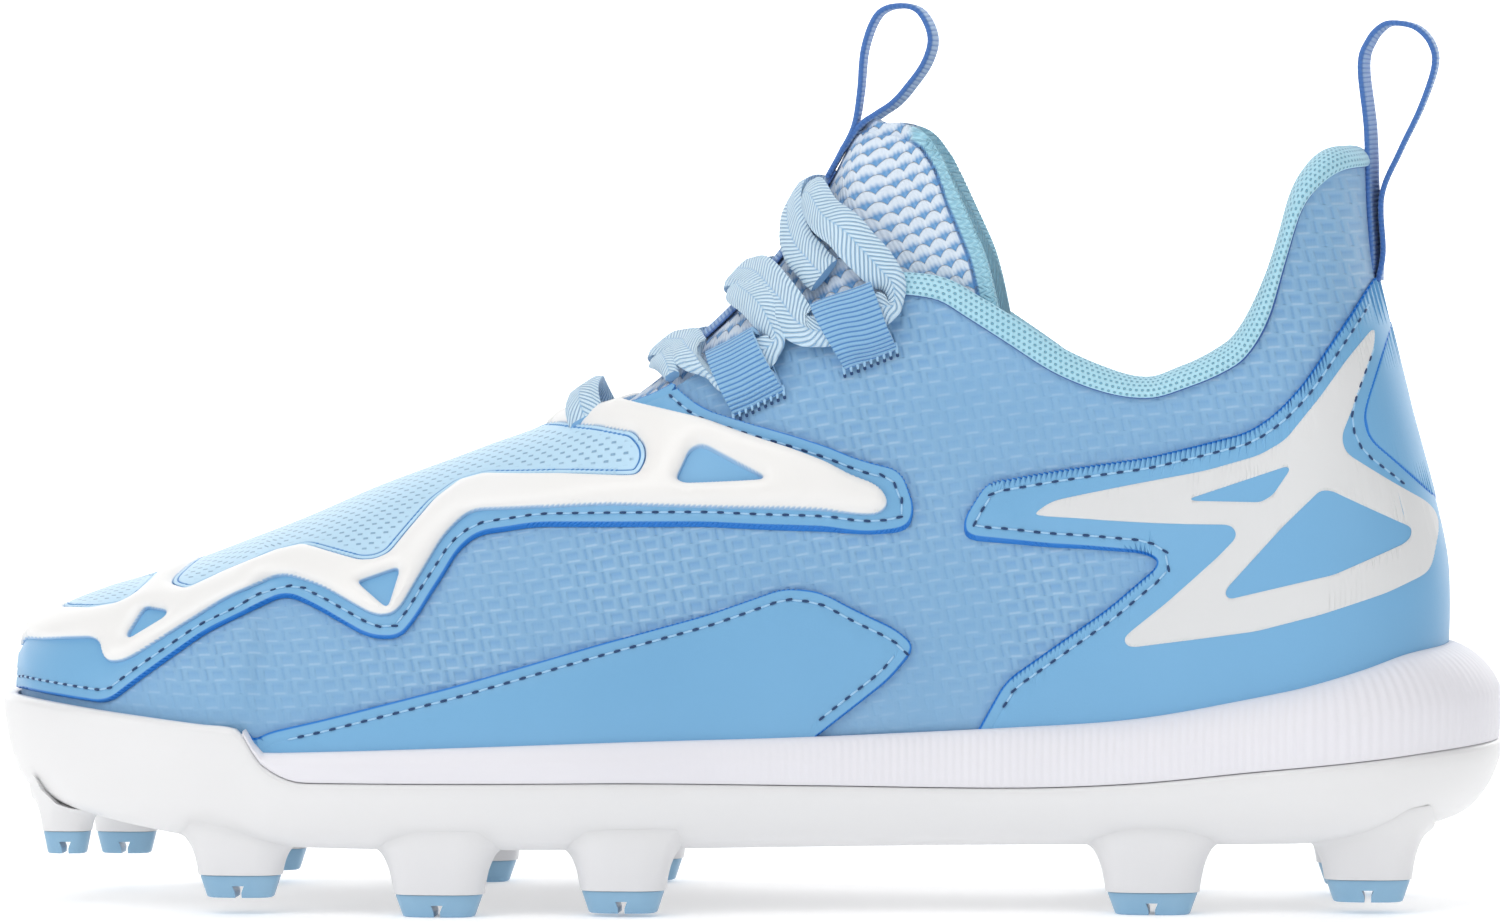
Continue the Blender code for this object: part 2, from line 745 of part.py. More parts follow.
def make_midsole(parts, cutters):
    def capped(share):
        return share < CAP_END + SMALL

    def ledge(share):
        return min(rim_height(share) + GAP, bite(share) - SMALL * 20)

    def knee(share):
        return min(tray_profile(share)[1][0] + GAP / 2, ledge(share) - SMALL * 20)

    def flare(share, inset):
        return max(tray_inset(share, ledge(share)), inset) if capped(share) else inset

    def band(share):
        return min(max(level(share, 3), ledge(share) + SMALL * 10), bite(share) - SMALL * 10)

    def lip(share):
        return max(edge_inset(share) - GAP * 1.3, flare(share, 0) + LIP / 2)

    rings = [
        ring(lambda s: tray_profile(s)[0][1] + GAP * 2, lambda s: tray_profile(s)[0][0] + GAP),
        ring(lambda s: tray_inset(s, knee(s)), knee),
        ring(lambda s: tray_inset(s, ledge(s)), ledge),
        ring(lambda s: flare(s, GAP), ledge),
        ring(lambda s: flare(s, 0.0), band),
        ring(lambda s: flare(s, bevel(s)), bite),
        ring(lip, bite),
        ring(lambda s: lip(s) + TUCK, floor_height),
    ]
    midsole = stack("midsole", rings, MATERIALS["midsole"], parts)
    relief = shell("relief", GAP, -RELIEF, 0.125, 0.22, MATERIALS["cutter"], cutters)
    relief.hide_render = True
    relief.display_type = "WIRE"
    boolean(midsole, relief, "DIFFERENCE")
    return midsole


def make_insole(parts):
    def inset(share):
        return edge_inset(share) + TUCK + WALL + GAP * 2

    rings = [
        ring(inset, lambda s: floor_height(s) + GAP),
        ring(lambda s: inset(s) - INSOLE_ROUND * 0.3, lambda s: floor_height(s) + INSOLE * 0.6),
        ring(lambda s: inset(s) + INSOLE_ROUND, lambda s: floor_height(s) + INSOLE),
    ]
    return stack("insole", rings, MATERIALS["insole"], parts)


def keep(obj, outline, cutters, side=0):
    """Keeps what lies inside an outline seen from the side, on one side or on both."""
    low = -BALL_WIDTH if side <= 0 else 0.0
    high = BALL_WIDTH if side >= 0 else 0.0
    boolean(obj, prism("keep_" + obj.name, outline, low, high, cutters), "INTERSECT")
    return obj


def make_overlays(parts, cutters):
    level_1 = GAP + OVERLAY
    level_2 = level_1 + GAP + CAGE
    toe = shell("toe_overlay", level_1, GAP, 0.0, 0.64, MATERIALS["overlay"], parts)
    keep(toe, TOE_OVERLAY_EDGE, cutters)
    cage = shell("toe_cage", level_2, level_1 + GAP, 0.0, 0.64, MATERIALS["cage"], parts)
    keep(cage, CAGE_EDGE, cutters)
    for number, hole in enumerate(CAGE_HOLES):
        cutter = prism("hole_%d" % number, hole, -BALL_WIDTH, BALL_WIDTH, cutters)
        boolean(cage, cutter, "DIFFERENCE")
    for name, side in (("medial_panel", -1), ("lateral_panel", 1)):
        panel = shell(name, level_1, GAP, 0.178, 0.64, MATERIALS["overlay"], parts)
        keep(panel, SIDE_PANEL_EDGE, cutters, side)
    heel = shell("heel_overlay", GAP + HEEL_COUNTER, GAP, 0.602, 1.0, MATERIALS["overlay"], parts)
    keep(heel, HEEL_OVERLAY_EDGE, cutters)


def make_tongue(parts, cutters):
    outside = -WALL - GAP
    inside = outside - TONGUE_PAD
    tongue = shell("tongue", outside, inside, 0.385, 0.72, MATERIALS["tongue"], parts, beyond=4)
    return keep(tongue, TONGUE_EDGE, cutters)


def turn_at(share, side, offset, height):
    """The turn at which a column reaches a height."""
    low, high = 0.0, 1.0
    for _ in range(24):
        turn = (low + high) / 2
        if wall_point(share, side, offset, turn).z < height:
            low = turn
        else:
            high = turn
    return low


def roll_section(share, side, up):
    """Ring of points of the collar roll, which grows along the last from the topline."""
    top = wall_point(share, side, 0.0, top_turn(share, side))

    def place(offset, rise):
        station = share + up.x * rise / LENGTH
        return wall_point(station, side, offset, turn_at(station, side, offset, top.z + up.z * rise))

    here = share_at(top.x)
    height, pad, skirt = (smooth(ROLL, here, c) * size for c, size in zip((1, 2, 3), ROLL_SIZES))
    behind = -WALL - (GAP * 1.5 if pad > 0 else 0)
    lift = GAP * 1.5
    points = []
    for inwards, rise in ROLL_SECTION:
        points.append(place(ROLL_OUT + (behind - pad - ROLL_OUT) * inwards, lift + (height - lift) * rise))
    for left, drop in ROLL_INSIDE:
        points.append(place(behind - pad * left, lift - skirt * drop))
    return points


def make_roll(parts):
    """Padded roll from one side of the throat round the heel to the other."""
    shares = [s for s in STATIONS if s > ROLL_START]
    shares = [ROLL_START] + shares
    route = [(s, -1) for s in shares] + [(s, 1) for s in shares[-2::-1]]
    tops = [wall_point(s, side, 0, top_turn(s, side)) for s, side in route]
    sections = []
    for i, (share, side) in enumerate(route):
        along = (tops[min(i + 1, len(tops) - 1)] - tops[max(i - 1, 0)]).normalized()
        up = (Vector((0, 0, 1)) - along * along.z).normalized()
        sections.append(roll_section(share, side, up))
    faces = [tuple(sections[0]), tuple(sections[-1])]
    for first, second in zip(sections, sections[1:]):
        faces += between(first, second)
    return make_object("collar_lining", faces, MATERIALS["lining"], parts)


def surface(share, lean):
    """Point of the last by its lean from the ridge: below 0 on the inner side, above 0 on the outer."""
    return wall_point(share, -1 if lean < 0 else 1, 0.0, 1 - abs(lean))


def tangents(share, lean):
    """How the surface's point moves with its share and with its lean."""
    by_share = (surface(share + 0.004, lean) - surface(share - 0.004, lean)) / 0.008
    by_lean = (surface(share, lean + 0.01) - surface(share, lean - 0.01)) / 0.02
    return by_share, by_lean


def slide(share, lean, step):
    """Share and lean of the point whose step along the tangent plane is a given vector."""
    by_share, by_lean = tangents(share, lean)
    start = surface(share, lean)
    a, b, c = by_share.dot(by_share), by_share.dot(by_lean), by_lean.dot(by_lean)
    scale = a * c - b * b
    for _ in range(4):
        missing = step - (surface(share, lean) - start)
        p, q = missing.dot(by_share), missing.dot(by_lean)
        share, lean = share + (p * c - q * b) / scale, lean + (q * a - p * b) / scale
    return share, lean


def outward_at(share, lean):
    by_share, by_lean = tangents(share, lean)
    return by_share.cross(by_lean).normalized()


def above(share, lean, offset):
    return surface(share, lean) + outward_at(share, lean) * offset


def band(name, path, width, thick, material_, collection):
    """Flat band that hugs the last, through the share, lean and offset of each point of its path.

    A point also holds a share of the width, and a direction across where it isn't square to the path.
    """
    sections = []
    for i, (share, lean, offset, part, across) in enumerate(path):
        if across is None:
            along = surface(*path[min(i + 1, len(path) - 1)][:2]) - surface(*path[max(i - 1, 0)][:2])
            across = outward_at(share, lean).cross(along).normalized()
        step = across * width / 2 * part
        left, right = slide(share, lean, -step), slide(share, lean, step)
        low, high = offset - thick / 2, offset + thick / 2
        sections.append([above(*left, low), above(*right, low), above(*right, high), above(*left, high)])
    return loft(name, sections, material_, collection)


def loop_directions(share, lean):
    """Directions along a loop's tunnel and square to it, on the wall."""
    normal = outward_at(share, lean)
    along = Vector((math.cos(LOOP_TILT), 0, math.sin(LOOP_TILT)))
    along = (along - normal * along.dot(normal)).normalized()
    return along, normal.cross(along)


def loop_frame(name, side):
    """Share and lean of the lace in a loop whose top is level with the throat's edge."""
    share = dict(LOOPS)[name]
    lean = side * (1 - top_turn(share, side))
    across = loop_directions(share, lean)[1]
    down = across if across.z < 0 else -across
    share, lean = slide(share, lean, down * (LACE_WIDTH / 2 + GAP + WEB_THICK))
    return share, lean, *loop_directions(share, lean)


def loop_path(name, side, steps):
    """Points of a lace in its loop, at distances from the loop's centre."""
    share, lean, along, across = loop_frame(name, side)
    return [(*slide(share, lean, along * step), LACE_LEVELS[2], FOLDED, across) for step in steps]


def lace_point(row, side, lift=0.0, part=1.0):
    """Point of a lace from its row, lifted near the ridge."""
    share, reach, rise = row
    reach *= side
    edge = 1 - top_turn(share, -1 if reach < 0 else 1)
    step = min(int(rise), 2)
    low, high = LACE_LEVELS[step], LACE_LEVELS[step + 1]
    offset = low + (high - low) * (rise - step) + lift * max(0, 1 - abs(reach) / LIFT_REACH)
    return share, reach * edge, offset, part, None


def strand(name, start, rows, end, side, lift, collection):
    """One lace strand over the ridge. It narrows where it turns out of a loop or under an edge."""
    mouth, middle = WEB_WIDTH / 2 + GAP * 1.5, GAP * 2
    parts = [TURNED, (1 + TURNED) / 2] + [1.0] * (len(rows) - 2)
    path = [lace_point(row, side, lift, part) for row, part in zip(rows, parts)]
    if start:
        path = loop_path(start, -side, (middle, mouth)) + path
    if end:
        path += loop_path(end, side, (-mouth, -middle))
    return band(name, path, LACE_WIDTH, LACE_THICK, MATERIALS["lace"], collection)


def make_laces(parts, cutters):
    bar = [lace_point(row, 1) for row in BAR]
    band("lace_bar", bar, LACE_WIDTH, LACE_THICK, MATERIALS["lace"], parts)
    for number, (start, rows, end) in enumerate(CROSSINGS):
        name = "lace_cross_%d" % (number + 1)
        under = strand(name, start, rows, end, 1, 0.0, parts)
        over = strand("over_" + name, start, rows, end, -1, LACE_THICK * 0.8, cutters)
        over.hide_render = True
        over.display_type = "WIRE"
        boolean(under, over, "UNION")


def loop_rings():
    """Section of a webbing loop: up the wall and off it, outside and in its tunnel."""
    half = LACE_WIDTH / 2 + GAP
    low = GAP + WEB_THICK
    high = low + LACE_THICK + LACE_SLACK * 2
    top = high + WEB_THICK
    outer = (
        (-half - WEB_TAIL, GAP), (0, GAP), (half + WEB_THICK * 0.6, GAP), (half + WEB_THICK, low),
        (half + WEB_THICK * 0.8, high), (half * 0.5, top), (-half * 0.5, top),
        (-half - WEB_THICK * 0.8, high), (-half - WEB_TAIL, low),
    )
    middle = (low + high) / 2
    tunnel = (
        (-half, low), (0, low), (half, low), (half, middle), (half, high), (half * 0.5, high),
        (-half * 0.5, high), (-half, high), (-half, middle),
    )
    return outer, tunnel


def make_loops(parts):
    for name, _ in LOOPS:
        for place, side in (("inner", -1), ("outer", 1)):
            share, lean, along, across = loop_frame(name, side)
            up = across if across.z > 0 else -across
            rings = []
            for ring_ in loop_rings():
                rings.append(
                    [
                        [above(*slide(share, lean, along * step + up * u), n) for u, n in ring_]
                        for step in (-WEB_WIDTH / 2, 0, WEB_WIDTH / 2)
                    ]
                )
            outer, tunnel = rings
            faces = between(outer[0], tunnel[0]) + between(outer[-1], tunnel[-1])
            for rows in rings:
                for first, second in zip(rows, rows[1:]):
                    faces += between(first, second)
            make_object("lace_loop_%s_%s" % (place, name), faces, MATERIALS["webbing"], parts)


def make_straps(parts):
    for name, rows in (("tongue_pull_loop", TONGUE_LOOP), ("heel_pull_loop", HEEL_LOOP)):
        points = [Vector((x_at(s), 0, h * HEEL_HEIGHT)) for s, h in rows]
        sections = []
        for i, point in enumerate(points):
            along = (points[min(i + 1, len(points) - 1)] - points[max(i - 1, 0)]).normalized()
            across = Vector((0, STRAP_WIDTH / 2, 0))
            out = Vector((-along.z, 0, along.x)) * STRAP_THICK / 2
            under, over = point - out, point + out
            sections.append([under - across, under + across, over + across, over - across])
        loft(name, sections, MATERIALS["webbing"], parts)


MATERIALS = {}


def make_materials():
    for name, colour, roughness in (
        ("outsole", (0.80, 0.80, 0.79), 0.35),
        ("tip", (0.03, 0.16, 0.55), 0.35),
        ("midsole", (0.78, 0.77, 0.82), 0.55),
        ("insole", (0.25, 0.35, 0.50), 0.90),
        ("upper", (0.16, 0.36, 0.70), 0.80),
        ("lining", (0.35, 0.52, 0.66), 0.90),
        ("tongue", (0.30, 0.48, 0.68), 0.90),
        ("overlay", (0.06, 0.22, 0.60), 0.40),
        ("cage", (0.80, 0.80, 0.82), 0.35),
        ("lace", (0.25, 0.50, 0.75), 0.80),
        ("webbing", (0.12, 0.32, 0.66), 0.70),
        ("cutter", (0.8, 0.1, 0.1), 0.5),
    ):
        MATERIALS[name] = material(name, colour, roughness)


def main():
    for obj in list(bpy.data.objects):
        bpy.data.objects.remove(obj, do_unlink=True)
    make_materials()
    parts = bpy.data.collections.new("baseball_cleat")
    cutters = bpy.data.collections.new("cutters")
    bpy.context.scene.collection.children.link(parts)
    bpy.context.scene.collection.children.link(cutters)
    cutters.hide_render = True
    make_outsole(parts, cutters)
    make_tips(parts, cutters)
    make_midsole(parts, cutters)
    make_insole(parts)
    shell("upper", 0.0, -WALL, 0.0, 1.0, MATERIALS["upper"], parts)
    make_overlays(parts, cutters)
    make_tongue(parts, cutters)
    make_roll(parts)
    make_laces(parts, cutters)
    make_loops(parts)
    make_straps(parts)


main()
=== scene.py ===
"""Looks of a right baseball cleat: toe towards -X, inner side towards -Y, stud tips on Z = 0.

The last is the same function as in the part's source, read here on fine grids. Panels are cut from it
by outlines seen from the side, and every piece sits at its own offset from the last.
"""

import math

import bmesh
import bpy
import numpy as np
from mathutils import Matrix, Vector
from mathutils.geometry import delaunay_2d_cdt


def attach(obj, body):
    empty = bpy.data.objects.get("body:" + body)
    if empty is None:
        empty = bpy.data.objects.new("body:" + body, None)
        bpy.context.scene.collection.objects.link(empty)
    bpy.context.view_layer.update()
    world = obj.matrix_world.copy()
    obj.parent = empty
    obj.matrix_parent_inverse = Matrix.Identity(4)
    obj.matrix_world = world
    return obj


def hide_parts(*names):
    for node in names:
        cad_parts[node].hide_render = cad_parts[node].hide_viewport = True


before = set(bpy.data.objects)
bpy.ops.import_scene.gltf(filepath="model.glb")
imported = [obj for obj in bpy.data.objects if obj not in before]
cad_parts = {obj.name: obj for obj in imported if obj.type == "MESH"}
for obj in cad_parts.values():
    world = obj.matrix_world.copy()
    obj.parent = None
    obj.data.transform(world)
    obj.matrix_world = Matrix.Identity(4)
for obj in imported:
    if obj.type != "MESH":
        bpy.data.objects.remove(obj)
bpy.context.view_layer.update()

# Sizes of the shoe, in metres, as in the part's source
LENGTH = 0.252
BALL_WIDTH = 0.090
HEEL_WIDTH = 0.066
SOLE_HEIGHT = 0.0440
INSTEP_HEIGHT = 0.080
HEEL_HEIGHT = 0.1235
MM = 0.001

WALL = 0.0022
GAP = 0.0003
PLATE = 0.0026
RIM = 0.0017
RIM_SLACK = 0.0002
RIM_ROOT = 0.0013
LIP = 0.0016
TUCK = 0.0030
INSOLE = 0.0040
INSOLE_ROUND = 0.0010
LATERAL_DROP = 0.0030

OVERLAY = 0.0008
CAGE = 0.0010
ROLL_HEIGHT = 0.0045
ROLL_OUT = 0.0008
ROLL_PAD = 0.0060
ROLL_SKIRT = 0.0240

LACE_WIDTH = 0.0067
LACE_THICK = 0.0016
LACE_SLACK = 0.0004
LIFT_REACH = 0.55
FOLDED = 0.84
TURNED = 0.40
WEB_WIDTH = 0.0094
WEB_THICK = 0.0011
WEB_TAIL = 0.0028
STRAP_WIDTH = 0.0100
STRAP_THICK = 0.0012
STUD_LENGTH = 0.0150
STUD_DEPTH = 0.0095
TIP_HEIGHT = 0.0037
NOTCH_WIDTH = 0.0013
NOTCH_DEPTH = 0.0020
STUD_ROOT = 0.0006
STUD_REACH = 0.30

# Offsets of a lace's centre from the last: on the tongue, on the upper, in a loop, over the cage
LACE_LEVELS = (
    -WALL + LACE_THICK / 2,
    GAP + LACE_THICK / 2,
    GAP + WEB_THICK + LACE_SLACK + LACE_THICK / 2,
    GAP * 3 + OVERLAY + CAGE + LACE_THICK / 2,
)

CAP_END = 0.178
THROAT = 0.380
COLLAR_FRONT = 0.597
HEEL_CENTRE = 0.795

# Share of LENGTH, half width on the inner and outer side as shares of BALL_WIDTH, then of HEEL_WIDTH
FOREFOOT = (
    (0.00, 0.400, 0.360), (0.08, 0.450, 0.395), (0.18, 0.490, 0.445),
    (0.28, 0.500, 0.485), (0.38, 0.475, 0.500), (0.50, 0.410, 0.470),
)
REARFOOT = (
    (0.62, 0.495, 0.560), (0.72, 0.480, 0.510), (0.82, 0.490, 0.500),
    (0.90, 0.500, 0.500), (1.00, 0.490, 0.490),
)
TOE_ROUND, TOE_POWER = 0.175, 2.25
HEEL_ROUND, HEEL_POWER = 0.135, 2.15

# Share of LENGTH, then underside, rim, band and bite as shares of SOLE_HEIGHT
LEVELS = (
    (0.000, 0.420, 0.790, 0.560, 0.640), (0.020, 0.395, 0.788, 0.560, 0.640),
    (0.070, 0.345, 0.765, 0.560, 0.640), (0.150, 0.285, 0.720, 0.560, 0.640),
    (0.178, 0.272, 0.700, 0.714, 0.720), (0.193, 0.266, 0.575, 0.600, 0.618),
    (0.220, 0.258, 0.505, 0.575, 0.620), (0.320, 0.250, 0.503, 0.580, 0.638),
    (0.420, 0.250, 0.503, 0.585, 0.655), (0.550, 0.254, 0.490, 0.585, 0.672),
    (0.680, 0.260, 0.480, 0.595, 0.705), (0.760, 0.262, 0.498, 0.620, 0.738),
    (0.840, 0.264, 0.545, 0.685, 0.820), (0.920, 0.280, 0.590, 0.760, 0.920),
    (0.960, 0.300, 0.615, 0.800, 0.975), (1.000, 0.325, 0.635, 0.825, 1.000),
)
# Share of LENGTH, height of the floor as a share of SOLE_HEIGHT
FOOTBED = (
    (0.00, 0.560), (0.07, 0.480), (0.15, 0.425), (0.25, 0.410),
    (0.42, 0.425), (0.60, 0.490), (0.75, 0.530), (1.00, 0.540),
)
# Share of LENGTH, rounding underneath and bevel above the band as shares of SOLE_HEIGHT
INSETS = (
    (0.00, 0.141, 0.020), (0.12, 0.150, 0.025), (0.178, 0.155, 0.030),
    (0.30, 0.159, 0.034), (0.55, 0.164, 0.045), (0.70, 0.182, 0.068),
    (0.80, 0.216, 0.095), (0.90, 0.250, 0.141), (1.00, 0.261, 0.177),
)
# Share of the way up the outsole's side, inset as a share of its rounding
SIDE = ((0.00, 1.00), (0.13, 0.52), (0.42, 0.20), (0.78, 0.02))
TRAY_KNEE = 0.35

# Share of LENGTH, height of the ridge as a share of INSTEP_HEIGHT, powers of the section
RIDGE = (
    (0.008, 0.500, 2.3, 2.6), (0.020, 0.553, 2.3, 2.6), (0.041, 0.599, 2.3, 2.6),
    (0.066, 0.630, 2.3, 2.5), (0.093, 0.657, 2.2, 2.4), (0.147, 0.714, 2.1, 2.3),
    (0.201, 0.778, 2.0, 2.2), (0.255, 0.851, 1.9, 2.1), (0.322, 0.930, 1.8, 2.0),
    (0.376, 1.000, 1.8, 2.0), (0.430, 1.115, 1.8, 2.0), (0.472, 1.230, 1.8, 2.0),
    (0.500, 1.320, 1.8, 2.0), (0.525, 1.420, 1.9, 2.0), (0.548, 1.540, 1.9, 2.0),
    (0.569, 1.650, 2.0, 2.0), (0.602, 1.740, 2.0, 2.0), (0.640, 2.000, 2.0, 2.0),
    (0.690, 2.600, 2.0, 2.0), (0.800, 3.400, 2.0, 2.0), (1.000, 3.400, 2.0, 2.0),
)
# Share of LENGTH, half width of the throat as a share of BALL_WIDTH
THROAT_EDGE = (
    (0.380, 0.000), (0.392, 0.080), (0.412, 0.128), (0.443, 0.165),
    (0.489, 0.180), (0.525, 0.212), (0.560, 0.234), (0.597, 0.244),
)
# Share of LENGTH, height of the topline as a share of HEEL_HEIGHT
TOPLINE = (
    (0.597, 0.831), (0.630, 0.822), (0.650, 0.799), (0.676, 0.766), (0.709, 0.724),
    (0.743, 0.698), (0.771, 0.692), (0.792, 0.704), (0.818, 0.726), (0.834, 0.750),
    (0.848, 0.800), (0.858, 0.872), (0.868, 0.940), (0.880, 0.975), (0.893, 0.994),
    (0.909, 1.000),
)
# Height as a share of HEEL_HEIGHT, reach of the heel as a share of LENGTH
BACK = (
    (0.350, 0.9600), (0.420, 0.9605), (0.480, 0.9585), (0.560, 0.9500), (0.660, 0.9370),
    (0.760, 0.9255), (0.850, 0.9150), (0.930, 0.9105), (1.000, 0.9090),
)
# Share of LENGTH, then height, padding and skirt of the collar roll as shares of its sizes
ROLL = (
    (0.600, 0.80, 0.00, 0.00), (0.690, 0.93, 0.00, 0.00), (0.730, 0.89, 0.50, 0.33),
    (0.770, 0.76, 0.83, 0.63), (0.850, 0.98, 1.00, 0.83), (0.909, 0.76, 1.00, 1.00),
)
# Shares of the way inwards and of the roll's height, then of the pad left and of the skirt's drop
ROLL_SECTION = ((0.00, 0.00), (0.00, 0.50), (0.25, 0.93), (0.60, 1.00), (0.92, 0.62), (1.00, 0.00))
ROLL_INSIDE = ((0.90, 0.60), (0.20, 1.00), (0.00, 1.00), (0.00, 0.50), (0.00, 0.00))
ROLL_START = 0.602

# Outlines seen from the side: share of LENGTH, height in millimetres
TOE_OVERLAY_EDGE = (
    (-0.050, 35.8), (0.030, 35.6), (0.088, 34.5), (0.110, 38.7), (0.153, 46.4), (0.203, 52.5),
    (0.224, 50.6), (0.262, 45.8), (0.282, 45.7), (0.292, 48.8), (0.317, 59.9), (0.330, 62.5),
    (0.367, 63.8), (0.479, 64.0), (0.590, 62.7), (0.612, 63.2), (0.617, 66.7), (0.608, 72.9),
    (0.529, 78.7), (0.475, 82.5), (0.452, 86.5), (0.430, 111.0), (-0.050, 111.0),
)
CAGE_EDGE = (
    (-0.050, 42.6), (0.018, 43.2), (0.080, 44.5), (0.086, 40.8), (0.100, 41.0), (0.165, 51.3),
    (0.200, 55.1), (0.228, 53.4), (0.266, 48.8), (0.280, 49.4), (0.306, 61.5), (0.322, 65.5),
    (0.416, 66.7), (0.517, 66.2), (0.593, 65.5), (0.600, 67.4), (0.592, 70.6), (0.476, 80.2),
    (0.419, 82.7), (0.385, 85.0), (0.368, 111.0), (-0.050, 111.0),
)
CAGE_HOLES = (
    ((0.109, 49.2), (0.125, 48.8), (0.125, 47.8), (0.103, 44.5), (0.100, 44.9)),
    ((0.252, 54.0), (0.277, 56.2), (0.279, 55.7), (0.274, 50.7), (0.272, 50.3)),
    ((0.473, 76.0), (0.478, 75.9), (0.516, 71.2), (0.516, 70.6), (0.464, 70.0), (0.459, 70.6), (0.467, 75.2)),
)
TOE_INSET = (
    (0.031, 60.0), (0.035, 48.4), (0.047, 48.1), (0.073, 48.5), (0.090, 49.3), (0.098, 50.3),
    (0.107, 52.4), (0.116, 60.0),
)
FOREFOOT_INSET = (
    (0.146, 64.0), (0.134, 56.5), (0.123, 53.3), (0.124, 52.5), (0.137, 52.0), (0.161, 54.8),
    (0.191, 57.9), (0.212, 59.2), (0.224, 58.7), (0.252, 57.3), (0.262, 57.5), (0.271, 58.5),
    (0.281, 61.8), (0.296, 66.6), (0.311, 69.5), (0.329, 70.8), (0.381, 71.1), (0.424, 71.0),
    (0.433, 71.2), (0.438, 73.5), (0.437, 75.7), (0.429, 77.8), (0.404, 78.6), (0.376, 78.9),
    (0.347, 78.2), (0.321, 76.8), (0.304, 74.6), (0.290, 80.0),
)
SIDE_PANEL_EDGE = (
    (0.170, 27.0), (0.196, 30.5), (0.234, 32.7), (0.317, 38.0), (0.410, 44.7), (0.481, 49.5),
    (0.531, 53.8), (0.556, 53.1), (0.605, 47.2), (0.618, 44.2), (0.601, 39.0), (0.545, 28.0),
)
HEEL_OVERLAY_EDGE = (
    (1.050, 40.0), (1.050, 107.3), (0.929, 107.3), (0.916, 105.6), (0.902, 99.8), (0.869, 87.3),
    (0.852, 82.7), (0.834, 79.7), (0.769, 75.5), (0.664, 71.3), (0.648, 64.8), (0.650, 61.8),
    (0.767, 59.8), (0.778, 58.2), (0.743, 50.6), (0.676, 38.7), (0.650, 27.0), (1.050, 27.0),
)
HEEL_WEB_EDGE = (
    (0.695, 66.1), (0.706, 67.9), (0.760, 70.9), (0.809, 73.5), (0.842, 75.9), (0.859, 78.4),
    (0.881, 85.6), (0.897, 91.5), (0.914, 96.9), (0.914, 93.6), (0.906, 86.9), (0.894, 78.9),
    (0.897, 76.2), (0.923, 71.8), (0.947, 67.9), (0.953, 65.9), (0.955, 63.2), (0.951, 57.6),
    (0.947, 56.0), (0.923, 53.2), (0.881, 49.7), (0.840, 47.0), (0.790, 45.3), (0.758, 44.2),
    (0.754, 45.1), (0.755, 46.2), (0.782, 51.7), (0.815, 59.2), (0.828, 62.6), (0.824, 64.5),
    (0.773, 64.6), (0.740, 64.9), (0.698, 65.6),
)
HEEL_WEB_HOLES = (
    ((0.797, 68.8), (0.860, 74.1), (0.862, 73.5), (0.851, 69.4), (0.843, 68.2), (0.799, 68.4)),
    (
        (0.881, 70.1), (0.888, 70.1), (0.938, 63.8), (0.938, 62.3), (0.934, 61.2), (0.890, 56.3),
        (0.823, 52.3), (0.820, 53.0), (0.821, 54.1), (0.856, 63.8),
    ),
)
BACK_PANEL_EDGE = (
    (1.050, 102.0), (0.930, 102.0), (0.916, 90.1), (0.908, 83.4), (0.908, 80.9), (0.912, 78.0),
    (0.927, 74.6), (0.945, 70.2), (0.975, 62.0), (1.050, 62.0),
)
TONGUE_EDGE = (
    (0.392, 71.6), (0.392, 148.2), (0.575, 148.2), (0.589, 131.2), (0.602, 132.0), (0.616, 131.2),
    (0.625, 129.6), (0.639, 124.4), (0.648, 119.4), (0.657, 114.5), (0.664, 110.4), (0.669, 105.4),
    (0.674, 99.0), (0.665, 86.5), (0.600, 77.8), (0.470, 71.6),
)

# Lacing: name and share of LENGTH of each pair of webbing loops
LOOPS = (("front", 0.5005), ("rear", 0.5720))
LOOP_TILT = 0.40
# Share of LENGTH, reach as a share of the way to the throat's edge, place among LACE_LEVELS
BAR = (
    (0.4000, -1.30, 1.2), (0.3990, -1.05, 2.3), (0.3990, -0.60, 3.0), (0.4000, 0.00, 2.9),
    (0.3990, 0.60, 3.0), (0.3990, 1.05, 2.3), (0.4000, 1.30, 1.2),
)
CROSSINGS = (
    (
        None,
        (
            (0.4575, -0.93, 1.0), (0.4525, -0.66, 0.9), (0.4470, -0.30, 0.7), (0.4480, 0.0, 0.6),
            (0.4560, 0.30, 0.6), (0.4630, 0.52, 0.8), (0.4700, 0.80, 1.3),
        ),
        "front",
    ),
    (
        "front",
        (
            (0.5300, -1.06, 1.5), (0.5260, -0.98, 1.2), (0.5195, -0.85, 1.15), (0.5030, -0.52, 0.8),
            (0.4975, -0.25, 0.7), (0.4985, 0.0, 0.6), (0.5060, 0.30, 0.6), (0.5210, 0.69, 0.9),
            (0.5350, 0.92, 1.2), (0.5450, 1.03, 1.5),
        ),
        "rear",
    ),
    (
        "rear",
        (
            (0.6055, -1.03, 1.5), (0.6040, -0.98, 1.3), (0.5930, -0.91, 1.1), (0.5760, -0.83, 0.9),
            (0.5575, -0.64, 0.7), (0.5450, -0.30, 0.6), (0.5370, 0.0, 0.6), (0.5330, 0.30, 0.5),
            (0.5370, 0.58, 0.4), (0.5480, 0.78, 0.3), (0.5560, 0.87, 0.3),
        ),
        None,
    ),
)
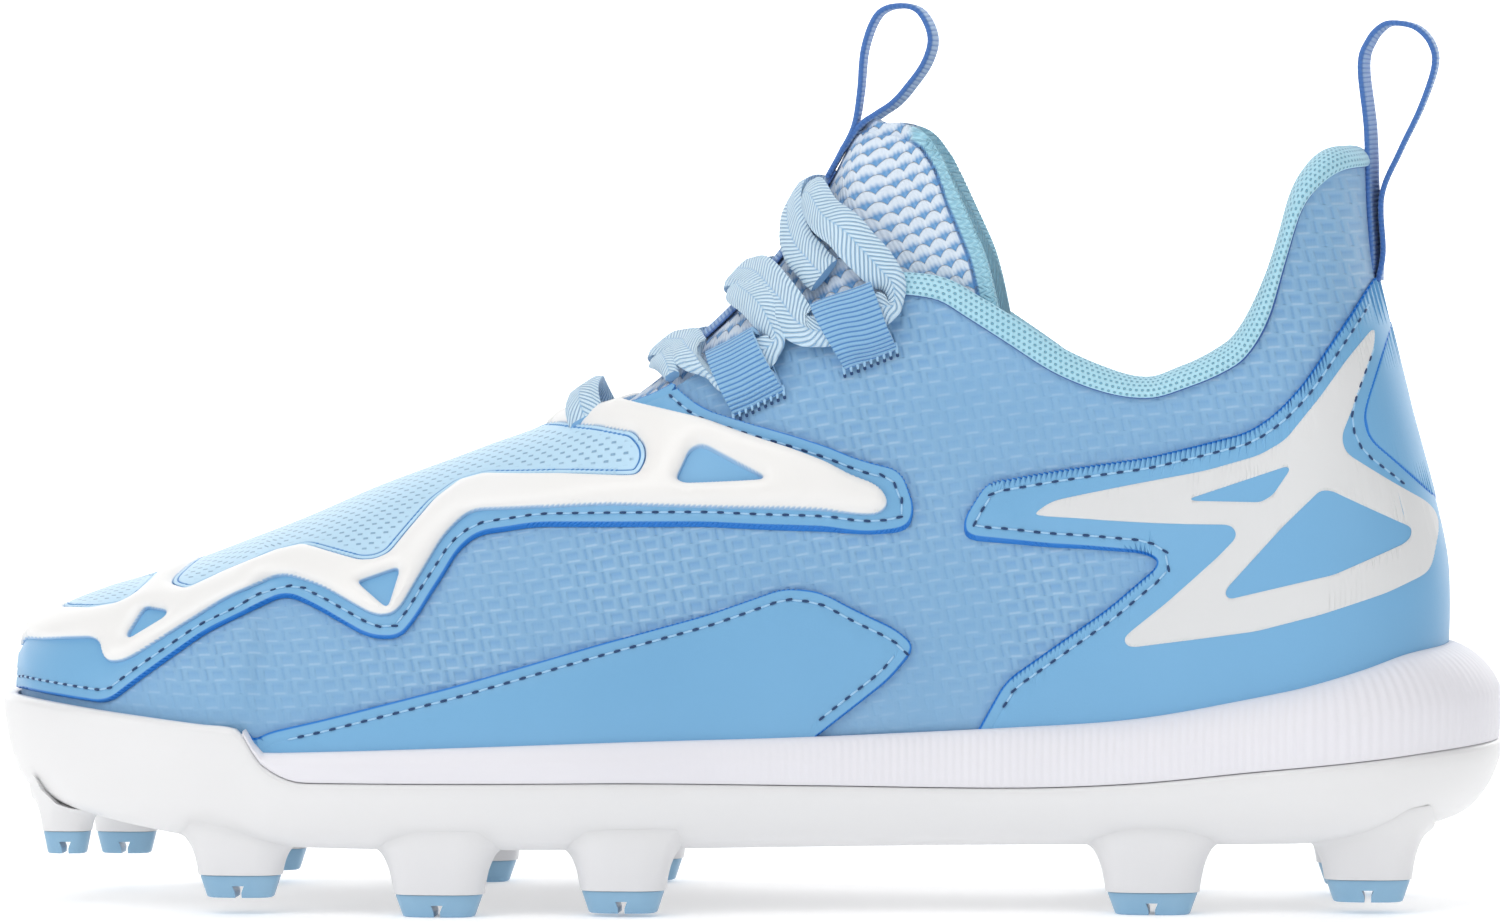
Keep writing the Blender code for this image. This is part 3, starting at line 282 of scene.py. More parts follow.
# Share of LENGTH, height as a share of HEEL_HEIGHT
TONGUE_LOOP = (
    (0.552, 0.985), (0.561, 1.018), (0.570, 1.054), (0.574, 1.100), (0.577, 1.160), (0.586, 1.205),
    (0.600, 1.217), (0.614, 1.209), (0.622, 1.175), (0.618, 1.140), (0.606, 1.105), (0.597, 1.085),
    (0.587, 1.071), (0.5755, 1.0535), (0.5640, 1.0200),
)
HEEL_LOOP = (
    (0.9160, 0.845), (0.9164, 0.885), (0.9140, 0.960), (0.9125, 1.050), (0.9080, 1.135), (0.9130, 1.170),
    (0.922, 1.190), (0.932, 1.193), (0.944, 1.186), (0.953, 1.165), (0.955, 1.135), (0.946, 1.080),
    (0.932, 1.020), (0.9200, 0.960), (0.9208, 0.885), (0.9172, 0.845),
)
# Studs: share of LENGTH, share of BALL_WIDTH across, shares of STUD_LENGTH and STUD_DEPTH, height of
# the flat end as a share of SOLE_HEIGHT
STUDS = (
    ("inner_1", 0.050, -0.185, 0.52, 0.74, 0.195), ("inner_2", 0.175, -0.375, 0.89, 0.91, 0.064),
    ("inner_3", 0.307, -0.400, 0.96, 0.97, 0.000), ("inner_4", 0.427, -0.370, 0.91, 0.97, 0.014),
    ("outer_1", 0.072, 0.160, 0.67, 0.80, 0.141), ("outer_2", 0.160, 0.335, 0.89, 0.91, 0.050),
    ("outer_3", 0.300, 0.390, 0.96, 0.97, 0.000), ("outer_4", 0.415, 0.400, 0.91, 0.97, 0.009),
    ("inner_5", 0.772, -0.245, 1.00, 1.00, 0.000), ("inner_6", 0.913, -0.200, 0.93, 0.97, 0.045),
    ("outer_5", 0.765, 0.255, 1.00, 1.00, 0.000), ("outer_6", 0.905, 0.210, 0.93, 0.97, 0.041),
)
# Scale along and across a stud, and height as a share of the way from its tip to the plate
STUD_BODY = (
    (1.04, 1.06, 0.00), (1.08, 1.11, 0.25), (1.16, 1.20, 0.55), (1.32, 1.36, 0.84), (1.58, 1.62, 1.00),
)
STUD_POINTS = 44
TIP_TAPER = (0.84, 0.80)
# Shares of the stud's length and depth, and height as a share of TIP_HEIGHT
TIP_ROWS = (
    (TIP_TAPER[0] * 0.93, TIP_TAPER[1] * 0.90, 0.0), (TIP_TAPER[0] * 0.98, TIP_TAPER[1] * 0.97, 0.035),
    (TIP_TAPER[0], TIP_TAPER[1], 0.10), (0.92, 0.90, 0.55), (0.99, 0.99, 0.93), (0.985, 0.985, 1.0),
)
CORNER_POWER = 3.0

# Creases: start and end as share of LENGTH and height in mm, depth and half width in mm
CREASES = (
    ((0.305, 57.0), (0.335, 44.0), 0.25, 2.6),
    ((0.345, 61.0), (0.385, 48.0), 0.22, 3.0),
    ((0.640, 84.0), (0.705, 62.0), 0.30, 4.0),
    ((0.855, 96.0), (0.880, 112.0), 0.40, 3.0),
    ((0.820, 84.0), (0.860, 90.0), -0.35, 4.0),
    ((0.620, 92.0), (0.700, 82.0), 0.25, 3.0),
    ((0.560, 60.0), (0.640, 56.0), -0.30, 5.0),
)


def smooth(table, share, column=1):
    """Reads a column of a table at many shares, on a smooth curve through its rows."""
    rows = np.array([row[: column + 1] for row in table], float)
    x, y = rows[:, 0], rows[:, column]
    share = np.clip(np.asarray(share, float), x[0], x[-1])
    row = np.clip(np.searchsorted(x, share, side="right") - 1, 0, len(x) - 2)
    low, high = np.maximum(np.arange(len(x)) - 1, 0), np.minimum(np.arange(len(x)) + 1, len(x) - 1)
    slopes = (y[high] - y[low]) / (x[high] - x[low])
    span = x[row + 1] - x[row]
    t = (share - x[row]) / span
    rise = y[row + 1] - y[row]
    steep = np.abs(3 * rise / span)
    first = np.clip(slopes[row], -steep, steep)
    second = np.clip(slopes[row + 1], -steep, steep)
    bend = first * t * (1 - t) ** 2 - second * t * t * (1 - t)
    return y[row] + rise * t * t * (3 - 2 * t) + span * bend


def x_at(share):
    return (np.asarray(share, float) - 0.5) * LENGTH


def share_at(x):
    return np.asarray(x, float) / LENGTH + 0.5


def round_end(distance, reach, power):
    near = np.clip(np.asarray(distance, float), 0, reach)
    return (1 - (1 - near / reach) ** power) ** (1 / power)


OUTLINE = [(s, a * BALL_WIDTH, b * BALL_WIDTH) for s, a, b in FOREFOOT] + [
    (s, a * HEEL_WIDTH, b * HEEL_WIDTH) for s, a, b in REARFOOT
]


def outline_point(share, side):
    """Plan point of the sole's outline: side -1 is the inner side, 1 the outer one."""
    share = np.asarray(share, float)
    half = np.where(np.asarray(side) < 0, smooth(OUTLINE, share, 1), smooth(OUTLINE, share, 2))
    half = half * round_end(share, TOE_ROUND, TOE_POWER) * round_end(1 - share, HEEL_ROUND, HEEL_POWER)
    return np.stack([x_at(share), side * half], -1)


def outline_normal(share, side):
    share = np.asarray(share, float)
    step = np.maximum(np.minimum(0.004, np.minimum(share, 1 - share) / 2), 1e-7)
    along = outline_point(share + step, side) - outline_point(share - step, side)
    normal = np.stack([-side * along[..., 1], side * along[..., 0]], -1)
    normal = normal / np.maximum(np.linalg.norm(normal, axis=-1, keepdims=True), 1e-12)
    ends = (share <= 1e-6)[..., None], (share >= 1 - 1e-6)[..., None]
    normal = np.where(ends[0], np.array([-1.0, 0.0]), normal)
    return np.where(ends[1], np.array([1.0, 0.0]), normal)


def level(share, column):
    return smooth(LEVELS, share, column) * SOLE_HEIGHT


def floor_height(share):
    return smooth(FOOTBED, share) * SOLE_HEIGHT


def bite(share):
    return np.where(np.asarray(share) < CAP_END, floor_height(share) + 2 * GAP, level(share, 4))


def wall_foot(share):
    return np.maximum(level(share, 4), floor_height(share) + 4 * GAP)


def rounding(share):
    return smooth(INSETS, share, 1) * SOLE_HEIGHT


def bevel(share):
    return smooth(INSETS, share, 2) * SOLE_HEIGHT


def edge_inset(share):
    return bevel(share) + LIP + GAP


def ridge(share, offset):
    step = 0.01
    rise = smooth(RIDGE, share + step) - smooth(RIDGE, share - step)
    slope = rise * INSTEP_HEIGHT / (2 * step * LENGTH)
    return smooth(RIDGE, share) * INSTEP_HEIGHT + offset * np.minimum(np.hypot(1, slope), 3)


def back_reach(z):
    reach = smooth(BACK, z / HEEL_HEIGHT) - HEEL_CENTRE
    return reach / (smooth(BACK, SOLE_HEIGHT / HEEL_HEIGHT) - HEEL_CENTRE)


def bite_point(share, side, offset):
    inset = edge_inset(share) - offset
    return outline_point(share, side) - outline_normal(share, side) * np.asarray(inset)[..., None]


def plain_wall(share, side, offset, turn):
    """Points of the last at turns from 0 at the bite line to 1 at the ridge."""
    values = (np.asarray(value, float) for value in (share, side, offset, turn))
    share, side, offset, turn = np.broadcast_arrays(*values)
    base = bite_point(share, side, offset)
    middle = (bite_point(share, -1, offset)[..., 0] + bite_point(share, 1, offset)[..., 0]) / 2
    here = np.minimum(share_at(middle), HEEL_CENTRE)
    low, high = wall_foot(share), ridge(here, offset)
    across, up = smooth(RIDGE, here, 2), smooth(RIDGE, here, 3)
    angle = np.clip(turn, 0, 1) * math.pi / 2
    z = low + (high - low) * np.sin(angle) ** (2 / up)
    y = base[..., 1] * np.maximum(np.cos(angle), 0) ** (2 / across)
    x = base[..., 0] + (middle - base[..., 0]) * np.sin(angle) ** 2
    centre = x_at(HEEL_CENTRE)
    x = np.where(x > centre, centre + (x - centre) * back_reach(z), x)
    return np.stack([x, y, z], -1)


def crease(points):
    """Depth of the soft troughs and ridges in the cloth at points of the last."""
    depth = np.zeros(points.shape[:-1])
    place = np.stack([points[..., 0], points[..., 2]], -1)
    for start, end, deep, wide in CREASES:
        a = np.array([x_at(start[0]), start[1] * MM])
        b = np.array([x_at(end[0]), end[1] * MM])
        along = b - a
        t = np.clip(((place - a) @ along) / (along @ along), 0, 1)
        away = np.linalg.norm(place - a - t[..., None] * along, axis=-1)
        depth -= deep * MM * np.exp(-((away / (wide * MM)) ** 2))
    return depth


def wall(share, side, offset, turn):
    """The last with its creases."""
    here = plain_wall(share, side, 0.0, turn)
    return plain_wall(share, side, offset + crease(here), turn)


def top_height(share, side):
    drop = np.where(np.asarray(side) > 0, LATERAL_DROP, 0)
    away = np.maximum(0, 1 - ((share - 0.74) / 0.14) ** 2)
    return smooth(TOPLINE, share) * HEEL_HEIGHT - drop * away


def top_turn(share, side):
    """The turn at which the wall ends: the ridge, the throat's edge or the topline."""
    share = np.asarray(share, float)
    side = np.broadcast_to(np.asarray(side, float), share.shape)
    base = np.abs(bite_point(share, -1, 0.0)[..., 1])
    middle = (bite_point(share, -1, 0.0)[..., 0] + bite_point(share, 1, 0.0)[..., 0]) / 2
    here = np.minimum(share_at(middle), HEEL_CENTRE)
    half = smooth(THROAT_EDGE, here) * BALL_WIDTH
    ratio = np.minimum(1, half / np.maximum(base, 1e-9))
    throat = np.arccos(ratio ** (smooth(RIDGE, here, 2) / 2)) * 2 / math.pi
    low, high = np.zeros_like(share), np.ones_like(share)
    for _ in range(24):
        turn = (low + high) / 2
        point = plain_wall(share, side, 0.0, turn)
        below = point[..., 2] < top_height(share_at(point[..., 0]), side)
        low, high = np.where(below, turn, low), np.where(below, high, turn)
    return np.where(here <= THROAT, 1.0, np.where(here < COLLAR_FRONT, throat, low))


def turn_at(share, side, offset, height):
    low, high = np.zeros_like(height), np.ones_like(height)
    for _ in range(24):
        turn = (low + high) / 2
        below = plain_wall(share, side, offset, turn)[..., 2] < height
        low, high = np.where(below, turn, low), np.where(below, high, turn)
    return low


def surface(share, lean, offset=0.0):
    """Points by their lean from the ridge: below 0 on the inner side, above 0 on the outer."""
    return wall(share, np.where(np.asarray(lean) < 0, -1.0, 1.0), offset, 1 - np.abs(lean))


def tangents(share, lean):
    share, lean = np.asarray(share, float), np.asarray(lean, float)
    step = 0.003
    ahead, behind = np.minimum(share + step, 1), np.maximum(share - step, 0)
    by_share = (surface(ahead, lean) - surface(behind, lean)) / (ahead - behind)[..., None]
    up, down = np.minimum(lean + 0.01, 1), np.maximum(lean - 0.01, -1)
    by_lean = (surface(share, up) - surface(share, down)) / (up - down)[..., None]
    return by_share, by_lean


def unit(vectors):
    return vectors / np.maximum(np.linalg.norm(vectors, axis=-1, keepdims=True), 1e-12)


def outward_at(share, lean):
    return unit(np.cross(*tangents(share, lean)))


def above(share, lean, offset):
    return surface(share, lean) + outward_at(share, lean) * np.asarray(offset)[..., None]


def slide(share, lean, step, rounds=4):
    """Share and lean of the points a step along the tangent plane away."""
    share, lean = np.asarray(share, float), np.asarray(lean, float)
    by_share, by_lean = tangents(share, lean)
    start = surface(share, lean)
    a = (by_share * by_share).sum(-1)
    b = (by_share * by_lean).sum(-1)
    c = (by_lean * by_lean).sum(-1)
    scale = np.maximum(a * c - b * b, 1e-16)
    for _ in range(rounds):
        missing = step - (surface(share, lean) - start)
        p, q = (missing * by_share).sum(-1), (missing * by_lean).sum(-1)
        share = np.clip(share + (p * c - q * b) / scale, 0, 1)
        lean = np.clip(lean + (q * a - p * b) / scale, -1, 1)
    return share, lean


# A flat plane for the last: the length along the outline, and the lean times a girth
ARC_SHARES = 0.5 - 0.5 * np.cos(np.linspace(0, math.pi, 4001))
ARC_STEPS = np.linalg.norm(np.diff(outline_point(ARC_SHARES, -1.0), axis=0), axis=1)
ARC_LENGTHS = np.concatenate([[0], np.cumsum(ARC_STEPS)])
ARC_TOTAL = ARC_LENGTHS[-1]
GIRTH = 0.080


def to_plane(share, lean):
    return np.stack([np.interp(share, ARC_SHARES, ARC_LENGTHS), np.asarray(lean) * GIRTH], -1)


def from_plane(plane):
    return np.interp(plane[..., 0], ARC_LENGTHS, ARC_SHARES), np.clip(plane[..., 1] / GIRTH, -1, 1)


def stations(count, first=0.0, last=1.0):
    ends = np.interp((first, last), ARC_SHARES, ARC_LENGTHS)
    return np.interp(np.linspace(*ends, count), ARC_LENGTHS, ARC_SHARES)


GRID_SHARES = stations(420)
GRID_TURNS = np.linspace(0, 1, 260)
GRID = plain_wall(GRID_SHARES[:, None], -1.0, 0.0, GRID_TURNS[None, :])
TONGUE_LEVEL = -WALL - GAP
TONGUE_GRID = plain_wall(GRID_SHARES[:, None], -1.0, TONGUE_LEVEL, GRID_TURNS[None, :])
CLIMB = np.linalg.norm(np.diff(GRID, axis=1), axis=2).cumsum(1) * 1000
CLIMB = np.concatenate([np.zeros((len(CLIMB), 1)), CLIMB], 1)


def climb(share, lean):
    """Length up the wall from the bite line, in millimetres."""
    row = np.interp(share, GRID_SHARES, np.arange(len(GRID_SHARES)))
    column = (1 - np.abs(lean)) * (len(GRID_TURNS) - 1)
    i = np.minimum(row.astype(int), len(GRID_SHARES) - 2)
    j = np.minimum(column.astype(int), len(GRID_TURNS) - 2)
    a, b = row - i, column - j
    low = CLIMB[i, j] * (1 - a) + CLIMB[i + 1, j] * a
    high = CLIMB[i, j + 1] * (1 - a) + CLIMB[i + 1, j + 1] * a
    return low * (1 - b) + high * b


def from_side(x, z, sheet=GRID):
    """Share and lean on the inner side of a point seen from the side."""
    heights = sheet[..., 2]
    above_it = heights >= z
    row = np.where(above_it.any(1), above_it.argmax(1), len(GRID_TURNS) - 1)
    before = np.maximum(row - 1, 0)
    index = np.arange(len(GRID_SHARES))
    low, high = heights[index, before], heights[index, row]
    part = np.clip((z - low) / np.maximum(high - low, 1e-12), 0, 1)
    along = sheet[index, before, 0] + (sheet[index, row, 0] - sheet[index, before, 0]) * part
    turn = GRID_TURNS[before] + (GRID_TURNS[row] - GRID_TURNS[before]) * part
    along = np.maximum.accumulate(along)
    share = np.interp(x, along, GRID_SHARES)
    return share, np.interp(share, GRID_SHARES, turn) - 1


def rounded(points, radius, step):
    """A closed outline with rounded corners, cut into short steps."""
    points = np.array(points, float)
    out = []
    for i, here in enumerate(points):
        before, after = points[i - 1], points[(i + 1) % len(points)]
        near = min(radius, 0.45 * np.linalg.norm(before - here))
        far = min(radius, 0.45 * np.linalg.norm(after - here))
        start = here + unit(before - here) * near
        end = here + unit(after - here) * far
        for t in np.linspace(0, 1, 7):
            out.append((1 - t) ** 2 * start + 2 * t * (1 - t) * here + t * t * end)
    dense = []
    for i, here in enumerate(out):
        after = out[(i + 1) % len(out)]
        pieces = max(1, int(math.ceil(np.linalg.norm(after - here) / step)))
        dense += [here + (after - here) * k / pieces for k in range(pieces)]
    return np.array(dense)


def trace(outline, radius=2.5, step=0.9, sheet=GRID):
    """An outline seen from the side, as points of the plane on the inner side."""
    flat = rounded([(x_at(s) * 1000, h) for s, h in outline], radius, step) * MM
    return to_plane(*np.array([from_side(x, z, sheet) for x, z in flat]).T)


def inside(plane, polygon):
    """Which points of the plane lie inside a closed polygon."""
    a, b = polygon, np.roll(polygon, -1, 0)
    found = np.zeros(len(plane), bool)
    for start in range(0, len(plane), 4000):
        p = plane[start : start + 4000, None, :]
        crosses = (a[None, :, 1] > p[..., 1]) != (b[None, :, 1] > p[..., 1])
        rise = np.where(b[:, 1] == a[:, 1], 1e-12, b[:, 1] - a[:, 1])
        at = a[:, 0] + (p[..., 1] - a[:, 1]) / rise * (b[:, 0] - a[:, 0])
        found[start : start + 4000] = (crosses & (p[..., 0] < at)).sum(1) % 2 == 1
    return found


def near_side(plane, side):
    """The same points on the inner side, or far away where the region isn't on theirs."""
    out = plane.copy()
    out[:, 1] = -np.maximum(np.abs(plane[:, 1]), 1e-6)
    if side:
        out[:, 1] = np.where(plane[:, 1] * side > 0, out[:, 1], 10.0)
    return out


def open_runs(polygon):
    """Segments of an outline that are real edges, without those on the ridge or a seam of the plane."""
    after = np.roll(polygon, -1, 0)
    on_ridge = (polygon[:, 1] > -1e-5) & (after[:, 1] > -1e-5)
    on_toe = (polygon[:, 0] < 1e-5) & (after[:, 0] < 1e-5)
    on_heel = (polygon[:, 0] > ARC_TOTAL - 1e-5) & (after[:, 0] > ARC_TOTAL - 1e-5)
    on_bite = (polygon[:, 1] < -GIRTH + 1e-5) & (after[:, 1] < -GIRTH + 1e-5)
    same = np.linalg.norm(after - polygon, axis=1) < 1e-7
    return ~(on_ridge | on_toe | on_heel | same), on_bite


def distances(points, starts, ends):
    """Distance of each point to the nearest segment, and how far along them all that is."""
    lengths = np.linalg.norm(ends - starts, axis=1)
    arcs = np.concatenate([[0], np.cumsum(lengths)[:-1]])
    along = ends - starts
    away, where = np.empty(len(points)), np.empty(len(points))
    for first in range(0, len(points), 3000):
        p = points[first : first + 3000, None, :]
        t = ((p - starts) * along).sum(-1) / np.maximum((along * along).sum(-1), 1e-18)
        t = np.clip(t, 0, 1)
        gap = np.linalg.norm(p - starts - t[..., None] * along, axis=-1)
        best = gap.argmin(1)
        index = np.arange(len(best))
        away[first : first + 3000] = gap[index, best]
        where[first : first + 3000] = arcs[best] + t[index, best] * lengths[best]
    return away, where


# Points closer than this are one point, in metres
MERGE = 2e-6


class Build:
    """Gathers faces with their UV maps, then makes one object."""

    def __init__(self):
        self.points, self.faces, self.cloth, self.edge, self.slots = [], [], [], [], []
        self.count = 0

    def add(self, points, faces, cloth=None, edge=None, slot=0):
        """Faces by index, with UVs by point."""
        points, faces = np.asarray(points, float), np.asarray(faces, int)
        cloth = np.zeros((len(points), 2)) if cloth is None else np.asarray(cloth, float)
        edge = np.full((len(points), 2), 9.0) if edge is None else np.asarray(edge, float)
        self.points.append(points)
        self.faces += (faces + self.count).tolist()
        self.cloth.append(cloth[faces].reshape(-1, 2))
        self.edge.append(edge[faces].reshape(-1, 2))
        self.slots += [slot] * len(faces)
        self.count += len(points)

    def grid(self, points, cloth=None, wrap=False, slot=0):
        """Quads between neighbouring rows, each row closed on itself where wrap is set."""
        points = np.asarray(points, float)
        if wrap:
            points = np.concatenate([points, points[:, :1]], 1)
        rows, columns = points.shape[:2]
        if cloth is None:
            cloth = np.zeros((rows, columns, 2))
        number = np.arange(rows * columns).reshape(rows, columns)
        faces = np.stack([number[:-1, :-1], number[1:, :-1], number[1:, 1:], number[:-1, 1:]], -1)
        flat = points.reshape(-1, 3)
        self.add(flat, faces.reshape(-1, 4), np.asarray(cloth).reshape(-1, 2), slot=slot)

    def column(self, hoops, cloth=None):
        """Closed rings of points one after the other, with a fan over each end."""
        self.grid(hoops, cloth, wrap=True)
        for hoop in (hoops[0], hoops[-1]):
            count = len(hoop)
            faces = [(i, (i + 1) % count, count) for i in range(count)]
            self.add(np.concatenate([hoop, [hoop.mean(0)]]), faces)

    def finish(self, name, materials, replaced=(), angle=50):
        mesh = bpy.data.meshes.new(name)
        mesh.from_pydata(np.concatenate(self.points).tolist(), [], self.faces)
        for label, corners in (("cloth", self.cloth), ("edge", self.edge)):
            layer = mesh.uv_layers.new(name=label)
            layer.data.foreach_set("uv", np.concatenate(corners).astype(np.float32).ravel())
        mesh.polygons.foreach_set("material_index", np.array(self.slots, np.int32))
        work = bmesh.new()
        work.from_mesh(mesh)
        bmesh.ops.remove_doubles(work, verts=work.verts, dist=MERGE)
        bmesh.ops.dissolve_degenerate(work, edges=work.edges, dist=1e-7)
        bmesh.ops.recalc_face_normals(work, faces=work.faces)
        work.to_mesh(mesh)
        work.free()
        mesh.shade_smooth()
        mesh.set_sharp_from_angle(angle=math.radians(angle))
        for made in materials:
            mesh.materials.append(made)
        obj = bpy.data.objects.new(name, mesh)
        bpy.context.scene.collection.objects.link(obj)
        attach(obj, "root")
        if replaced:
            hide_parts(*replaced)
        return obj


class Field:
    """A number over a surface, worked out by math nodes."""

    def __init__(self, shade, socket):
        self.shade, self.socket = shade, socket

    def math(self, kind, *others):
        node = self.shade.node("ShaderNodeMath")
        node.operation = kind
        for i, value in enumerate((self,) + others):
            self.shade.feed(node.inputs[i], value)
        return Field(self.shade, node.outputs[0])

    def __add__(self, other):
        return self.math("ADD", other)

    def __sub__(self, other):
        return self.math("SUBTRACT", other)

    def __mul__(self, other):
        return self.math("MULTIPLY", other)

    def frac(self):
        return self.math("FRACT")

    def floor(self):
        return self.math("FLOOR")

    def size(self):
        return self.math("ABSOLUTE")

    def least(self, other):
        return self.math("MINIMUM", other)

    def most(self, other):
        return self.math("MAXIMUM", other)

    def wave(self):
        """1 at whole numbers and 0 halfway between them."""
        return (self * (2 * math.pi)).math("COSINE") * 0.5 + 0.5

    def step(self, low, high):
        """0 at low and 1 at high, smoothly."""
        node = self.shade.node("ShaderNodeMapRange")
        node.interpolation_type = "SMOOTHSTEP"
        self.shade.feed(node.inputs["Value"], self)
        flip = low > high
        node.inputs["From Min"].default_value = min(low, high)
        node.inputs["From Max"].default_value = max(low, high)
        node.inputs["To Min"].default_value = 1.0 if flip else 0.0
        node.inputs["To Max"].default_value = 0.0 if flip else 1.0
        return Field(self.shade, node.outputs["Result"])


class Shade:
    """A material and what its nodes need."""

    def __init__(self, name, roughness=0.5, coat=0.0, sheen=0.0, specular=0.5, subsurface=0.0):
        self.made = bpy.data.materials.new(name)
        self.made.use_nodes = True
        self.tree = self.made.node_tree
        self.shader = self.tree.nodes["Principled BSDF"]
        self.shader.inputs["Roughness"].default_value = roughness
        self.shader.inputs["Coat Weight"].default_value = coat
        self.shader.inputs["Coat Roughness"].default_value = 0.25
        self.shader.inputs["Sheen Weight"].default_value = sheen
        self.shader.inputs["Sheen Roughness"].default_value = 0.5
        self.shader.inputs["Specular IOR Level"].default_value = specular
        if subsurface:
            self.shader.inputs["Subsurface Weight"].default_value = subsurface
            self.shader.inputs["Subsurface Radius"].default_value = (0.003, 0.003, 0.003)
            self.shader.inputs["Subsurface Scale"].default_value = 1.0

    def node(self, kind):
        return self.tree.nodes.new(kind)

    def feed(self, socket, value):
        if isinstance(value, Field):
            self.tree.links.new(value.socket, socket)
        elif isinstance(value, bpy.types.NodeSocket):
            self.tree.links.new(value, socket)
        elif isinstance(value, tuple):
            socket.default_value = (*value, 1.0)
        else:
            socket.default_value = value

    def uv(self, name):
        """Both coordinates of a UV map, in millimetres."""
        node, parts = self.node("ShaderNodeUVMap"), self.node("ShaderNodeSeparateXYZ")
        node.uv_map = name
        self.tree.links.new(node.outputs["UV"], parts.inputs[0])
        return Field(self, parts.outputs[0]), Field(self, parts.outputs[1])

    def noise(self, scale, detail=3.0, stretch=(1.0, 1.0, 1.0)):
        """Soft noise over the object, in cells a metre."""
        place, sizes = self.node("ShaderNodeTexCoord"), self.node("ShaderNodeMapping")
        node = self.node("ShaderNodeTexNoise")
        sizes.inputs["Scale"].default_value = stretch
        node.inputs["Scale"].default_value = scale
        node.inputs["Detail"].default_value = detail
        self.tree.links.new(place.outputs["Object"], sizes.inputs["Vector"])
        self.tree.links.new(sizes.outputs["Vector"], node.inputs["Vector"])
        return Field(self, node.outputs["Fac"])

    def place(self, axis):
        """Where the surface lies along an axis, in metres."""
        place, parts = self.node("ShaderNodeTexCoord"), self.node("ShaderNodeSeparateXYZ")
        self.tree.links.new(place.outputs["Object"], parts.inputs[0])
        return Field(self, parts.outputs[axis])

    def mix(self, factor, low, high):
        node = self.node("ShaderNodeMix")
        node.data_type = "RGBA"
        self.feed(node.inputs[0], factor)
        self.feed(node.inputs[6], low)
        self.feed(node.inputs[7], high)
        return node.outputs[2]

    def bump(self, height, depth, strength=1.0):
        """Relief of a depth in metres where the height goes from 0 to 1."""
        node = self.node("ShaderNodeBump")
        node.inputs["Strength"].default_value = strength
        node.inputs["Distance"].default_value = depth
        self.feed(node.inputs["Height"], height)
        old = self.shader.inputs["Normal"].links
        if old:
            self.tree.links.new(old[0].from_socket, node.inputs["Normal"])
        self.tree.links.new(node.outputs["Normal"], self.shader.inputs["Normal"])

    def colour(self, value):
        self.feed(self.shader.inputs["Base Color"], value)
        return self

    def rough(self, value):
        self.feed(self.shader.inputs["Roughness"], value)


def rgb(red, green, blue):
    """A display colour from 0 to 255, as light."""

    def one(value):
        value /= 255
        return value / 12.92 if value <= 0.04045 else ((value + 0.055) / 1.055) ** 2.4

    return one(red), one(green), one(blue)


# Painted shade along the panels' cut edges
PANEL_EDGE_SHADE = rgb(30, 120, 205)
# Painted shade in the cloth's pockets and ribs
CLOTH_RECESS_SHADE = rgb(92, 150, 206)
HOLE_NAVY = rgb(16, 50, 92)
KNIT_LIGHT = rgb(224, 236, 249)
KNIT_DARK = rgb(98, 156, 210)
TEAL_LIGHT = rgb(168, 218, 236)
TEAL_DARK = rgb(86, 158, 190)
LACE_LIGHT = rgb(200, 228, 247)
LACE_DARK = rgb(140, 188, 228)
WEBBING_LIGHT = rgb(142, 192, 231)
WEBBING_DARK = rgb(74, 134, 200)
INSOLE_BLUE = rgb(120, 170, 212)
LINING_BLUE = rgb(86, 136, 188)

# Cells of the cloth and scales of the knit in millimetres, and each row's shift as a share of a cell
CELL_LONG = 4.3
CELL_HIGH = 2.35
CELL_SHIFT = 0.36
SCALE_LONG = 2.7
SCALE_HIGH = 2.45


def cloth_material():
    """Embossed basket weave: a pocket and a slanted rib in each cell, shifted from row to row; painted shade
    in the recesses, a painted highlight along each pocket's lower edge.
    """
    shade = Shade("quarter_cloth", 0.62, sheen=0.25)
    u, v = shade.uv("cloth")
    wobble = shade.noise(160.0, 2.0) - 0.5
    row = (v - u * 0.07) * (1 / CELL_HIGH) + wobble * 0.25
    line, up = row.floor(), row.frac()
    across = u * (1 / CELL_LONG) + line * CELL_SHIFT + up * 0.14 + wobble * 0.12
    cell = across.frac()
    pocket = cell.step(0.00, 0.12) * cell.step(0.58, 0.44) * up.step(0.04, 0.26) * up.step(0.96, 0.62)
    slope = up.step(0.15, 0.85)
    cut = (cell - 0.80).size().step(0.105, 0.0) * up.step(0.02, 0.15) * up.step(1.0, 0.85)
    edge = (cell - 0.70).size().step(0.08, 0.0) * up.step(0.02, 0.15) * up.step(1.0, 0.85)
    relief = pocket * (slope * 0.55 + 0.30) + cut * 0.75 + edge * 0.25
    broad = shade.noise(34.0, 2.0)
    depth = (broad.step(0.35, 0.62) * 0.4 + 0.45) * v.step(3.0, 22.0)
    # The relief also sets painted shade: pockets and ribs darker, most at a pocket's upper part
    dark = (relief * depth).most(0.0)
    base = shade.mix(broad, rgb(112, 164, 207), rgb(142, 185, 219))
    fine = shade.mix(dark.step(0.0, 0.95) * 0.72, base, CLOTH_RECESS_SHADE)
    # Painted highlight along the lower edge of each pocket
    painted_glint = cell.step(0.02, 0.14) * cell.step(0.62, 0.46) * (up - 0.10).size().step(0.16, 0.0)
    thread = (u * 4.0).wave() * 0.35 + (v * 4.4).wave() * 0.35
    # Paler threads of the weave, plus the painted highlight
    shade.colour(shade.mix((thread * 0.12 + painted_glint * depth * 0.40).least(1.0), fine, rgb(196, 220, 240)))
    shade.bump(dark * -1.0 + thread * 0.10, 0.00036, 0.85)
    shade.rough(dark * 0.15 + 0.55)
    return shade.made


